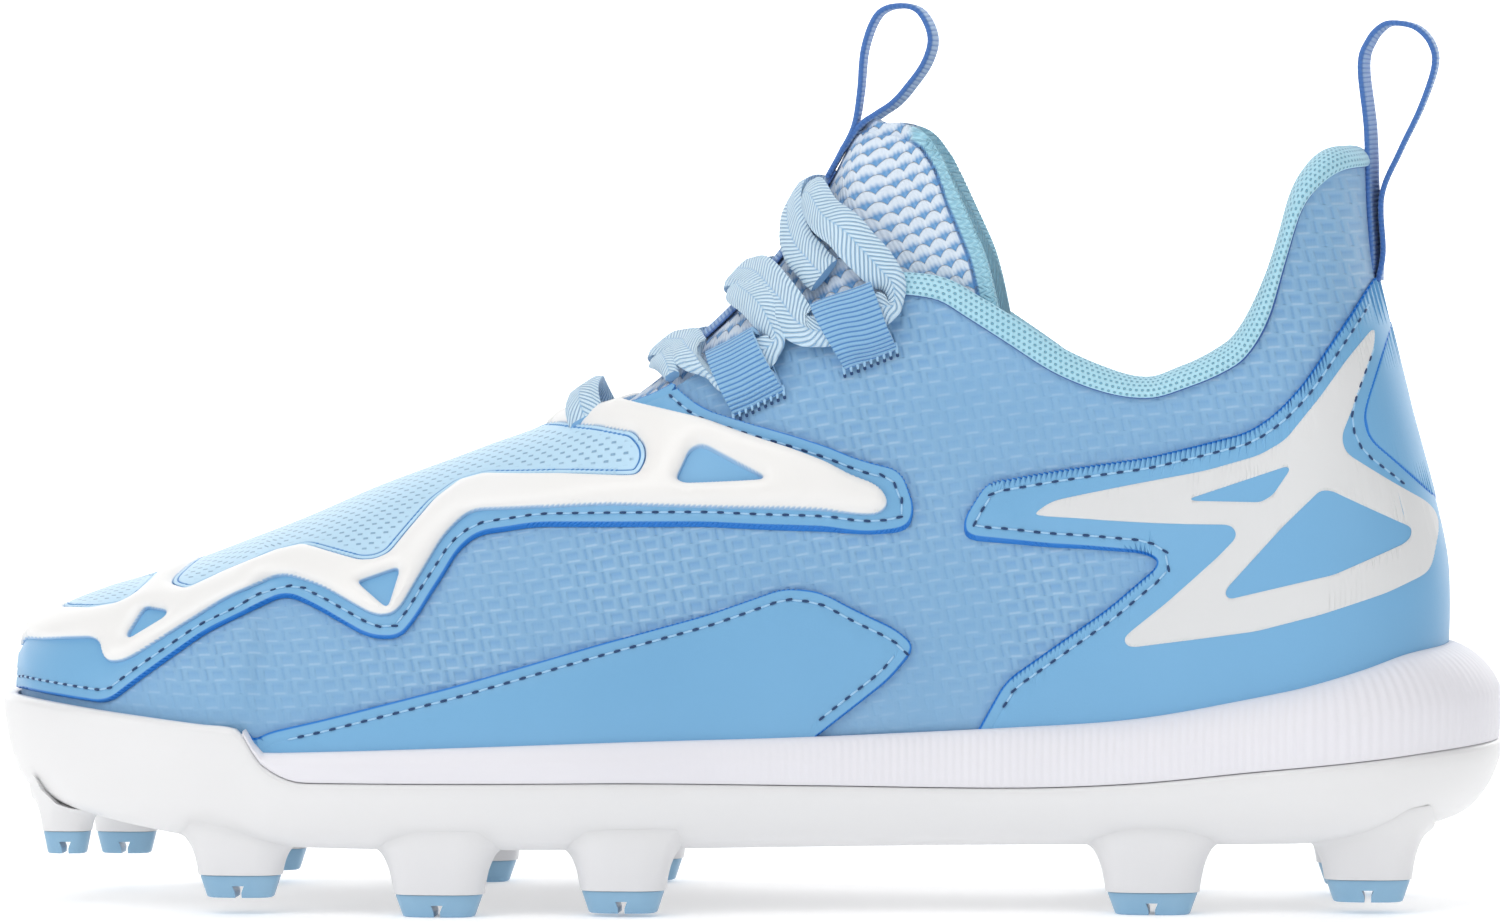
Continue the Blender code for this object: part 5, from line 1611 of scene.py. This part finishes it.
def band_sections(path, width, thick):
    """Rings of a flat band with soft edges along the last, and its UVs."""
    path = np.array(path, float)
    share, lean, offset, part = path[:, 0], path[:, 1], path[:, 2], path[:, 3]
    middle = surface(share, lean)
    along = np.gradient(middle, axis=0)
    across = unit(np.cross(outward_at(share, lean), along))
    given = np.linalg.norm(path[:, 4:7], axis=1) > 0.1
    flip = np.sign((path[:, 4:7] * across).sum(1))
    across = np.where(given[:, None], path[:, 4:7] * np.where(flip == 0, 1, flip)[:, None], across)
    weights = np.array([1, 2, 3, 2, 1.0]) / 9
    soft = [np.convolve(np.pad(across[:, i], 2, mode="edge"), weights, "valid") for i in range(3)]
    across = unit(np.stack(soft, -1))
    lanes = np.linspace(-1, 1, BAND_LANES)
    under, over = [], []
    for t in lanes:
        s, l = slide(share, lean, across * (width / 2 * part * t)[:, None], 3)
        half = thick / 2 * (1 - abs(t) ** 5) ** 0.5 * (1 + 0.12 * (1 - t * t)) + thick * 0.06
        under.append(above(s, l, offset - half))
        over.append(above(s, l, offset + half))
    hoops = np.stack(under + over[::-1], 1)
    lane = np.concatenate([lanes, lanes[::-1], [-1]]) * width / 2 * 1000
    uv = np.stack(np.broadcast_arrays(run_along(middle)[:, None], lane[None, :] * part[:, None]), -1)
    return hoops, uv


def add_band(build, path, width, thick, per=7):
    """A flat band through a path's rows: share, lean, offset, share of its width, direction across."""
    build.column(*band_sections(open_curve(path, per), width, thick))


def loop_directions(share, lean):
    normal = outward_at(share, lean)
    along = np.array([math.cos(LOOP_TILT), 0, math.sin(LOOP_TILT)])
    along = unit(along - normal * (normal @ along))
    return along, np.cross(normal, along)


def loop_frame(name, side):
    share = dict(LOOPS)[name]
    lean = side * (1 - float(top_turn(np.array([share]), side)[0]))
    across = loop_directions(share, lean)[1]
    down = across if across[2] < 0 else -across
    share, lean = slide(share, lean, down * (LACE_WIDTH / 2 + GAP + WEB_THICK))
    return (float(share), float(lean), *loop_directions(share, lean))


def loop_path(name, side, steps):
    share, lean, along, across = loop_frame(name, side)
    rows = []
    for step in steps:
        s, l = slide(share, lean, along * step)
        rows.append((float(s), float(l), LACE_LEVELS[2], FOLDED, *across))
    return rows


def lace_point(row, side, lift=0.0, part=1.0):
    share, reach, rise = row
    reach *= side
    edge = 1 - float(top_turn(np.array([share]), -1.0 if reach < 0 else 1.0)[0])
    step = min(int(rise), 2)
    low, high = LACE_LEVELS[step], LACE_LEVELS[step + 1]
    offset = low + (high - low) * (rise - step) + lift * max(0, 1 - abs(reach) / LIFT_REACH)
    return share, reach * edge, offset, part, 0.0, 0.0, 0.0


def add_strand(build, start, rows, end, side, lift):
    mouth, middle = WEB_WIDTH / 2 + GAP * 1.5, GAP * 2
    parts = [TURNED, (1 + TURNED) / 2] + [1.0] * (len(rows) - 2)
    path = [lace_point(row, side, lift, part) for row, part in zip(rows, parts)]
    if start:
        path = loop_path(start, -side, (middle, mouth)) + path
    if end:
        path += loop_path(end, side, (-mouth, -middle))
    add_band(build, path, LACE_WIDTH, LACE_THICK * 0.80)


def make_laces():
    build = Build()
    add_band(build, [lace_point(row, 1) for row in BAR], LACE_WIDTH, LACE_THICK * 0.9)
    build.finish("lace_bar_flat", [MADE["lace"]], ("lace_bar",))
    for number, (start, rows, end) in enumerate(CROSSINGS):
        build = Build()
        add_strand(build, start, rows, end, 1, 0.0)
        add_strand(build, start, rows, end, -1, LACE_THICK * 0.85)
        name = "lace_cross_%d" % (number + 1)
        build.finish(name + "_flat", [MADE["lace"]], (name,))


def make_loops():
    """Webbing loops sewn to the eyestay, with bar tacks under them."""
    half = LACE_WIDTH / 2 + GAP
    low = GAP + WEB_THICK
    high = low + LACE_THICK + LACE_SLACK * 2
    top = high + WEB_THICK
    outer = (
        (-half - WEB_TAIL, GAP), (0, GAP), (half + WEB_THICK * 0.6, GAP), (half + WEB_THICK, low),
        (half + WEB_THICK * 0.8, high), (half * 0.5, top), (-half * 0.5, top),
        (-half - WEB_THICK * 0.8, high), (-half - WEB_TAIL, low),
    )
    middle = (low + high) / 2
    tunnel = (
        (-half, low), (0, low), (half, low), (half, middle), (half, high), (half * 0.5, high),
        (-half * 0.5, high), (-half, high), (-half, middle),
    )
    for name, _ in LOOPS:
        for place, side in (("inner", -1.0), ("outer", 1.0)):
            share, lean, along, across = loop_frame(name, side)
            up = across if across[2] > 0 else -across
            steps = np.linspace(-WEB_WIDTH / 2, WEB_WIDTH / 2, 15)
            rings = []
            for section in (outer, tunnel):
                flat = closed_curve(np.array(section), 4)
                move = along * steps[:, None, None] + up * flat[None, :, :1]
                s, l = slide(np.full(move.shape[:2], share), np.full(move.shape[:2], lean), move, 3)
                rings.append(above(s, l, np.broadcast_to(flat[None, :, 1], move.shape[:2])))
            girth = run_round(rings[0])
            uv = np.stack([girth, np.broadcast_to(steps[:, None] * 1000, girth.shape)], -1)
            build = Build()
            build.grid(rings[0], uv, wrap=True)
            build.grid(rings[1], uv, wrap=True)
            for end in (0, -1):
                build.grid(np.stack([rings[0][end], rings[1][end]]), wrap=True)
            build.finish("webbing_%s_%s" % (place, name), [MADE["webbing"]],
                         ("lace_loop_%s_%s" % (place, name),))
            tacks = Build()
            count = 9
            at = (np.arange(count) - (count - 1) / 2) * (WEB_WIDTH * 1.12 / count)
            move = along * at[:, None] + up * (-half - WEB_TAIL - 0.2 * MM)
            s, l = slide(np.full(count, share), np.full(count, lean), move, 3)
            spots = above(s, l, np.full(count, 0.75 * MM))
            normal = outward_at(s, l)
            forward = np.broadcast_to(unit(up + along * 0.25), spots.shape)
            forward = unit(forward - normal * (forward * normal).sum(1)[:, None])
            pills(tacks, spots, forward, normal, 2.1 * MM, 0.55 * MM, 0.5 * MM)
            pills(tacks, spots - forward * 1.2 * MM - normal * 0.2 * MM, forward, normal,
                  0.7 * MM, 0.6 * MM, 0.35 * MM, slot=1)
            tacks.finish("bar_tack_%s_%s" % (place, name), [MADE["thread"], MADE["hole"]])


def strap(build, points, width, thick, first, last):
    """Flat strap in the centre plane."""
    path = open_curve(points, 10)
    along = unit(np.gradient(path, axis=0))
    turn = np.linspace(first, last, len(path))
    across = np.stack([np.sin(turn), np.cos(turn), np.zeros(len(path))], -1)
    across = unit(across - along * (across * along).sum(1)[:, None])
    out = np.cross(along, across)
    lane = np.array([-1, -0.94, -0.5, 0, 0.5, 0.94, 1])
    half = np.array([0.35, 0.9, 1, 1, 1, 0.9, 0.35])
    flat = path[:, None] + across[:, None] * (lane * width / 2)[None, :, None]
    raised = out[:, None] * (half * thick / 2)[None, :, None]
    lanes = np.concatenate([lane, lane[::-1], [lane[0]]]) * width / 2 * 1000
    uv = np.stack(np.broadcast_arrays(run_along(path)[:, None], lanes[None, :]), -1)
    build.column(np.concatenate([flat - raised, (flat + raised)[:, ::-1]], 1), uv)


def make_straps():
    straps = (("tongue_pull_loop", TONGUE_LOOP, -0.04, 0.14), ("heel_pull_loop", HEEL_LOOP, 0.20, -0.04))
    for name, rows, first, last in straps:
        points = [(float(x_at(s)), 0.0, h * HEEL_HEIGHT) for s, h in rows]
        build = Build()
        strap(build, points, STRAP_WIDTH * 0.96, STRAP_THICK * 0.8, first, last)
        build.finish(name + "_strap", [MADE["strap"]], (name,))
    build = Build()
    rows = [(s, 0.0, -WALL - GAP + 0.0006, 1.0, 0.0, 1.0, 0.0) for s in np.linspace(0.440, 0.552, 10)]
    add_band(build, rows, STRAP_WIDTH, 0.0009, 5)
    build.finish("tongue_tape", [MADE["strap"]])


def ring(inset, height, shares):
    """Closed ring of points round the sole."""
    points = []
    for side, row in ((-1.0, shares), (1.0, shares[-2:0:-1])):
        inward = np.broadcast_to(inset(row), row.shape)
        plan = outline_point(row, side) - outline_normal(row, side) * inward[:, None]
        points.append(np.concatenate([plan, np.broadcast_to(height(row), row.shape)[:, None]], 1))
    return np.concatenate(points)


def floor_grid(points):
    """A closed ring as strips across it."""
    half = len(points) // 2
    first = points[: half + 1]
    second = np.concatenate([points[:1], points[:half - 1 : -1]])
    parts = np.linspace(0, 1, 9)[None, :, None]
    return first[:, None] * (1 - parts) + second[:, None] * parts


def stack(build, rings):
    """Rings round the sole one above the other, closed by strips at both ends."""
    rings = np.stack(rings)
    run = run_along(np.concatenate([rings[0], rings[0][:1]]))
    tall = np.linspace(0, 1, len(rings))
    uv = np.stack(np.broadcast_arrays(run[None, :], tall[:, None]), -1)
    build.grid(rings, uv, wrap=True)
    for end in (0, -1):
        strips = floor_grid(rings[end])
        build.grid(strips, strips[..., :2] * 1000)


def rim_inner(share):
    return np.where(share < CAP_END, edge_inset(share) - GAP - RIM_SLACK, RIM)


def tray(share, row):
    floor, rim = level(share, 1) + PLATE, level(share, 2)
    heights = (floor, floor + (rim - floor) * TRAY_KNEE, rim)
    insets = (
        rounding(share) * SIDE[1][1] + PLATE,
        np.maximum(rim_inner(share), rounding(share) * SIDE[2][1] + RIM_ROOT),
        rim_inner(share),
    )
    return heights[row], insets[row]


def make_outsole():
    shares = stations(200)
    rows = []
    knots = np.array([(0.0, 1.35)] + list(SIDE) + [(0.965, 0.0), (1.0, 0.02)])
    for t in np.linspace(0, 1, 26):
        at = t * (len(knots) - 2)
        index = min(int(at), len(knots) - 2)
        part = at - index
        before, here = knots[max(index - 1, 0)], knots[index]
        after, last = knots[min(index + 1, len(knots) - 1)], knots[min(index + 2, len(knots) - 1)]
        rows.append(between_points(before, here, after, last, part))
    rings = []
    for height, inset in rows:
        rings.append(
            ring(
                lambda s: rounding(s) * inset,
                lambda s: level(s, 1) + (level(s, 2) - level(s, 1)) * max(height, 0.0),
                shares,
            )
        )
    for part in (0.10, 0.35, 0.75):
        rings.append(
            ring(
                lambda s: rim_inner(s) * part + GAP,
                lambda s: level(s, 2) + 0.0002 * math.sin(part * math.pi),
                shares,
            )
        )
    for row in (2, 1, 0):
        rings.append(ring(lambda s: tray(s, row)[1], lambda s: tray(s, row)[0], shares))
    build = Build()
    stack(build, rings)
    for _, share, across, long, deep, tip in STUDS:
        foot = tip * SOLE_HEIGHT + TIP_HEIGHT + GAP * 0.3
        sections = []
        for scale_x, scale_y, rise in open_curve(STUD_BODY, 5):
            flat = stud_ring(share, across, long * scale_x, deep * scale_y, foot)
            sections.append(stud_section(flat, foot, rise))
        build.column(np.stack(sections))
    build.finish("outsole_moulding", [MADE["plastic"]], ("outsole",))


def stud_section(hoop, foot, rise):
    """A ring of a stud's body, whose top follows the sole's underside and the rounding of its side."""
    share, side = np.clip(share_at(hoop[:, 0]), 0, 1), np.sign(hoop[:, 1])
    low, high = level(share, 1), level(share, 2)
    half, across = np.abs(outline_point(share, side)[:, 1]), np.abs(hoop[:, 1])
    held = np.minimum(across, np.maximum(half - rounding(share) * STUD_REACH, 0))
    across = across + (held - across) * rise
    heights, insets = np.array(SIDE).T
    up = np.interp((half - across) / rounding(share), insets[::-1], heights[::-1])
    root = low + (high - low) * up + STUD_ROOT
    return np.stack([hoop[:, 0], side * across, foot + (root - foot) * rise], -1)


def stud_ring(share, across, long, deep, z):
    """A stud's outline at a height, with lengths as shares of its full size."""
    angles = 2 * math.pi * (np.arange(STUD_POINTS) + 0.5) / STUD_POINTS
    c, s = np.cos(angles), np.sin(angles)
    x = float(x_at(share)) + np.sign(c) * np.abs(c) ** (2 / CORNER_POWER) * STUD_LENGTH * long / 2
    y = across * BALL_WIDTH + np.sign(s) * np.abs(s) ** (2 / CORNER_POWER) * STUD_DEPTH * deep / 2
    return np.stack([x, y, np.full(STUD_POINTS, z)], -1)


def make_tips():
    for name, share, across, long, deep, tip in STUDS:
        low = tip * SOLE_HEIGHT
        rows = [stud_ring(share, across, long * a, deep * b, low + TIP_HEIGHT * c) for a, b, c in TIP_ROWS]
        build = Build()
        build.column(np.stack(rows))
        obj = build.finish("tip_" + name, [MADE["tip"]], ("stud_tip_" + name,))
        cutter = notch(name, float(x_at(share)), across * BALL_WIDTH, low)
        modifier = obj.modifiers.new("notch", "BOOLEAN")
        modifier.operation = "DIFFERENCE"
        modifier.object = cutter
        bpy.context.view_layer.update()
        graph = bpy.context.evaluated_depsgraph_get()
        made = bpy.data.meshes.new_from_object(obj.evaluated_get(graph))
        obj.modifiers.clear()
        obj.data = made
        bpy.data.objects.remove(cutter)


def notch(name, x, y, z):
    """Wedge that cuts the slot of a tip, wider at its top."""
    low, high = NOTCH_WIDTH * 0.42, NOTCH_WIDTH * 0.75
    deep = STUD_DEPTH
    points = []
    for height, half in ((-NOTCH_DEPTH, low), (NOTCH_DEPTH * 0.45, low), (NOTCH_DEPTH, high)):
        points += [(x - half, y - deep, z + height), (x + half, y - deep, z + height),
                   (x + half, y + deep, z + height), (x - half, y + deep, z + height)]
    faces = [(3, 2, 1, 0), (8, 9, 10, 11)]
    for row in (0, 4):
        for i in range(4):
            j = (i + 1) % 4
            faces.append((row + i, row + j, row + 4 + j, row + 4 + i))
    mesh = bpy.data.meshes.new("cut_" + name)
    mesh.from_pydata(points, [], faces)
    obj = bpy.data.objects.new("cut_" + name, mesh)
    bpy.context.scene.collection.objects.link(obj)
    return obj


# How round the bevel above the midsole's band is: 0 is flat and 1 a quarter circle
BEVEL_ROUND = 0.55


def make_midsole():
    shares = stations(200)

    def capped(share):
        return share < CAP_END

    def ledge(share):
        return np.minimum(level(share, 2) + GAP, bite(share) - 20e-6)

    def tray_inset(share, z):
        low, bend, rim = tray(share, 0), tray(share, 1), tray(share, 2)
        first = z < bend[0]
        a, b = np.where(first, low[0], bend[0]), np.where(first, bend[0], rim[0])
        c, d = np.where(first, low[1], bend[1]), np.where(first, bend[1], rim[1])
        return c + (d - c) * np.clip((z - a) / (b - a), 0, 1) + GAP * 1.6

    def knee(share):
        return np.minimum(tray(share, 1)[0] + GAP / 2, ledge(share) - 20e-6)

    def flare(share, inset):
        return np.where(capped(share), np.maximum(tray_inset(share, ledge(share)), inset), inset)

    def band(share):
        return np.minimum(np.maximum(level(share, 3), ledge(share) + 10e-6), bite(share) - 10e-6)

    def lip(share):
        return np.maximum(edge_inset(share) - GAP * 1.3, flare(share, 0.0) + LIP / 2)

    rings = [
        ring(lambda s: tray(s, 0)[1] + GAP * 2, lambda s: tray(s, 0)[0] + GAP, shares),
        ring(lambda s: tray_inset(s, knee(s)), knee, shares),
        ring(lambda s: tray_inset(s, ledge(s)), ledge, shares),
    ]
    corners = [
        (lambda s: flare(s, GAP * 1.2), ledge),
        (lambda s: flare(s, GAP * 0.2), lambda s: ledge(s) * 0.55 + band(s) * 0.45),
        (lambda s: flare(s, 0.0), band),
    ]
    for a, b in zip(corners[:2], corners[1:3]):
        for t in (0.0, 0.33, 0.66):
            rings.append(
                ring(
                    lambda s: a[0](s) * (1 - t) + b[0](s) * t,
                    lambda s: a[1](s) * (1 - t) + b[1](s) * t,
                    shares,
                )
            )
    for t in np.linspace(0.0, 1.0, 9):
        angle = t * math.pi / 2
        inset_part = (1 - math.cos(angle)) * BEVEL_ROUND + t * (1 - BEVEL_ROUND)
        height_part = math.sin(angle) * BEVEL_ROUND + t * (1 - BEVEL_ROUND)
        rings.append(
            ring(
                lambda s: flare(s, bevel(s) * inset_part),
                lambda s: band(s) + (bite(s) - band(s)) * height_part,
                shares,
            )
        )
    rings.append(ring(lambda s: lip(s) * 0.5 + flare(s, bevel(s)) * 0.5, lambda s: bite(s) + 0.0001, shares))
    rings.append(ring(lip, bite, shares))
    rings.append(ring(lambda s: lip(s) + TUCK, floor_height, shares))
    build = Build()
    stack(build, rings)
    build.finish("midsole_foam", [MADE["foam"]], ("midsole",), angle=60)


def make_insole():
    shares = stations(120)

    def inset(share):
        return edge_inset(share) + TUCK + WALL + GAP * 2

    rings = [ring(inset, lambda s: floor_height(s) + GAP, shares)]
    for t in np.linspace(0, 1, 6):
        angle = t * math.pi / 2
        rings.append(
            ring(
                lambda s: inset(s) + INSOLE_ROUND * (1 - math.cos(angle)),
                lambda s: floor_height(s) + INSOLE * (0.6 + 0.4 * math.sin(angle)),
                shares,
            )
        )
    build = Build()
    stack(build, rings)
    made = build.finish("insole_pad", [MADE["insole"]], ("insole",))


# How brightly the paper shines near the shoe and far behind it
FLOOR_GLOW = (0.27, 0.78)
BACK_GLOW = (0.95, 0.95)
GLOW_DEPTHS = (0.05, 2.6)
WORLD_LIGHT = 0.34
# Name, place, width and power of each lamp
LAMPS = (
    ("key", (-0.35, -1.0, 1.25), 1.1, 7.6),
    ("fill", (0.9, -0.9, 0.7), 1.0, 2.4),
    ("toe", (-1.1, -0.6, 0.5), 0.8, 3.0),
    ("top", (0.0, 0.25, 1.3), 0.9, 4.3),
    ("rim", (0.5, 0.9, 0.6), 0.7, 1.8),
)
CAMERA_PLACE = (0.1255, -1.595, 0.135)
CAMERA_YAW = 4.5
CAMERA_DOWN = 2.19
CAMERA_LENS = 228.6


def make_set():
    """Floor, lights and the camera."""
    sheets = (
        ("floor", [(-6, -6, 0), (6, -6, 0), (6, 5, 0), (-6, 5, 0)], FLOOR_GLOW),
        ("backdrop", [(-6, 5, -0.5), (6, 5, -0.5), (6, 5, 5), (-6, 5, 5)], BACK_GLOW),
    )
    for name, corners, glow in sheets:
        mesh = bpy.data.meshes.new(name)
        mesh.from_pydata(corners, [], [(0, 1, 2, 3)])
        sheet = bpy.data.objects.new(name, mesh)
        bpy.context.scene.collection.objects.link(sheet)
        shade = Shade(name + "_paper", 0.9)
        shade.colour(shade.mix(shade.noise(3.0), (0.90, 0.90, 0.90), (0.92, 0.92, 0.92)))
        near, far = glow
        shade.shader.inputs["Emission Color"].default_value = (1.0, 1.0, 1.0, 1.0)
        glow_field = shade.place(1).step(*GLOW_DEPTHS) * (far - near) + near
        shade.feed(shade.shader.inputs["Emission Strength"], glow_field)
        mesh.materials.append(shade.made)
    world = bpy.data.worlds.new("studio")
    world.use_nodes = True
    world.node_tree.nodes["Background"].inputs[0].default_value = (1.0, 1.0, 1.0, 1.0)
    world.node_tree.nodes["Background"].inputs[1].default_value = WORLD_LIGHT
    bpy.context.scene.world = world
    for name, place, size, power in LAMPS:
        data = bpy.data.lights.new(name, "AREA")
        data.shape = "DISK"
        data.size = size
        data.energy = power
        lamp = bpy.data.objects.new(name, data)
        lamp.location = place
        aim = Vector((0, 0, 0.05)) - Vector(place)
        lamp.rotation_euler = aim.to_track_quat("-Z", "Y").to_euler()
        bpy.context.scene.collection.objects.link(lamp)
    data = bpy.data.cameras.new("camera")
    data.lens = CAMERA_LENS
    data.sensor_width = 36.0
    data.clip_start = 0.05
    camera = bpy.data.objects.new("camera", data)
    yaw, down = math.radians(CAMERA_YAW), math.radians(CAMERA_DOWN)
    camera.location = CAMERA_PLACE
    aim = Vector((-math.sin(yaw) * math.cos(down), math.cos(yaw) * math.cos(down), -math.sin(down)))
    camera.rotation_euler = aim.to_track_quat("-Z", "Y").to_euler()
    bpy.context.scene.collection.objects.link(camera)
    bpy.context.scene.camera = camera
    bpy.context.scene.view_settings.view_transform = "Standard"
    bpy.context.scene.view_settings.look = "None"


make_set()
make_upper()
make_panels()
make_seams()
make_tongue()
make_roll()
make_laces()
make_loops()
make_straps()
make_outsole()
make_tips()
make_midsole()
make_insole()
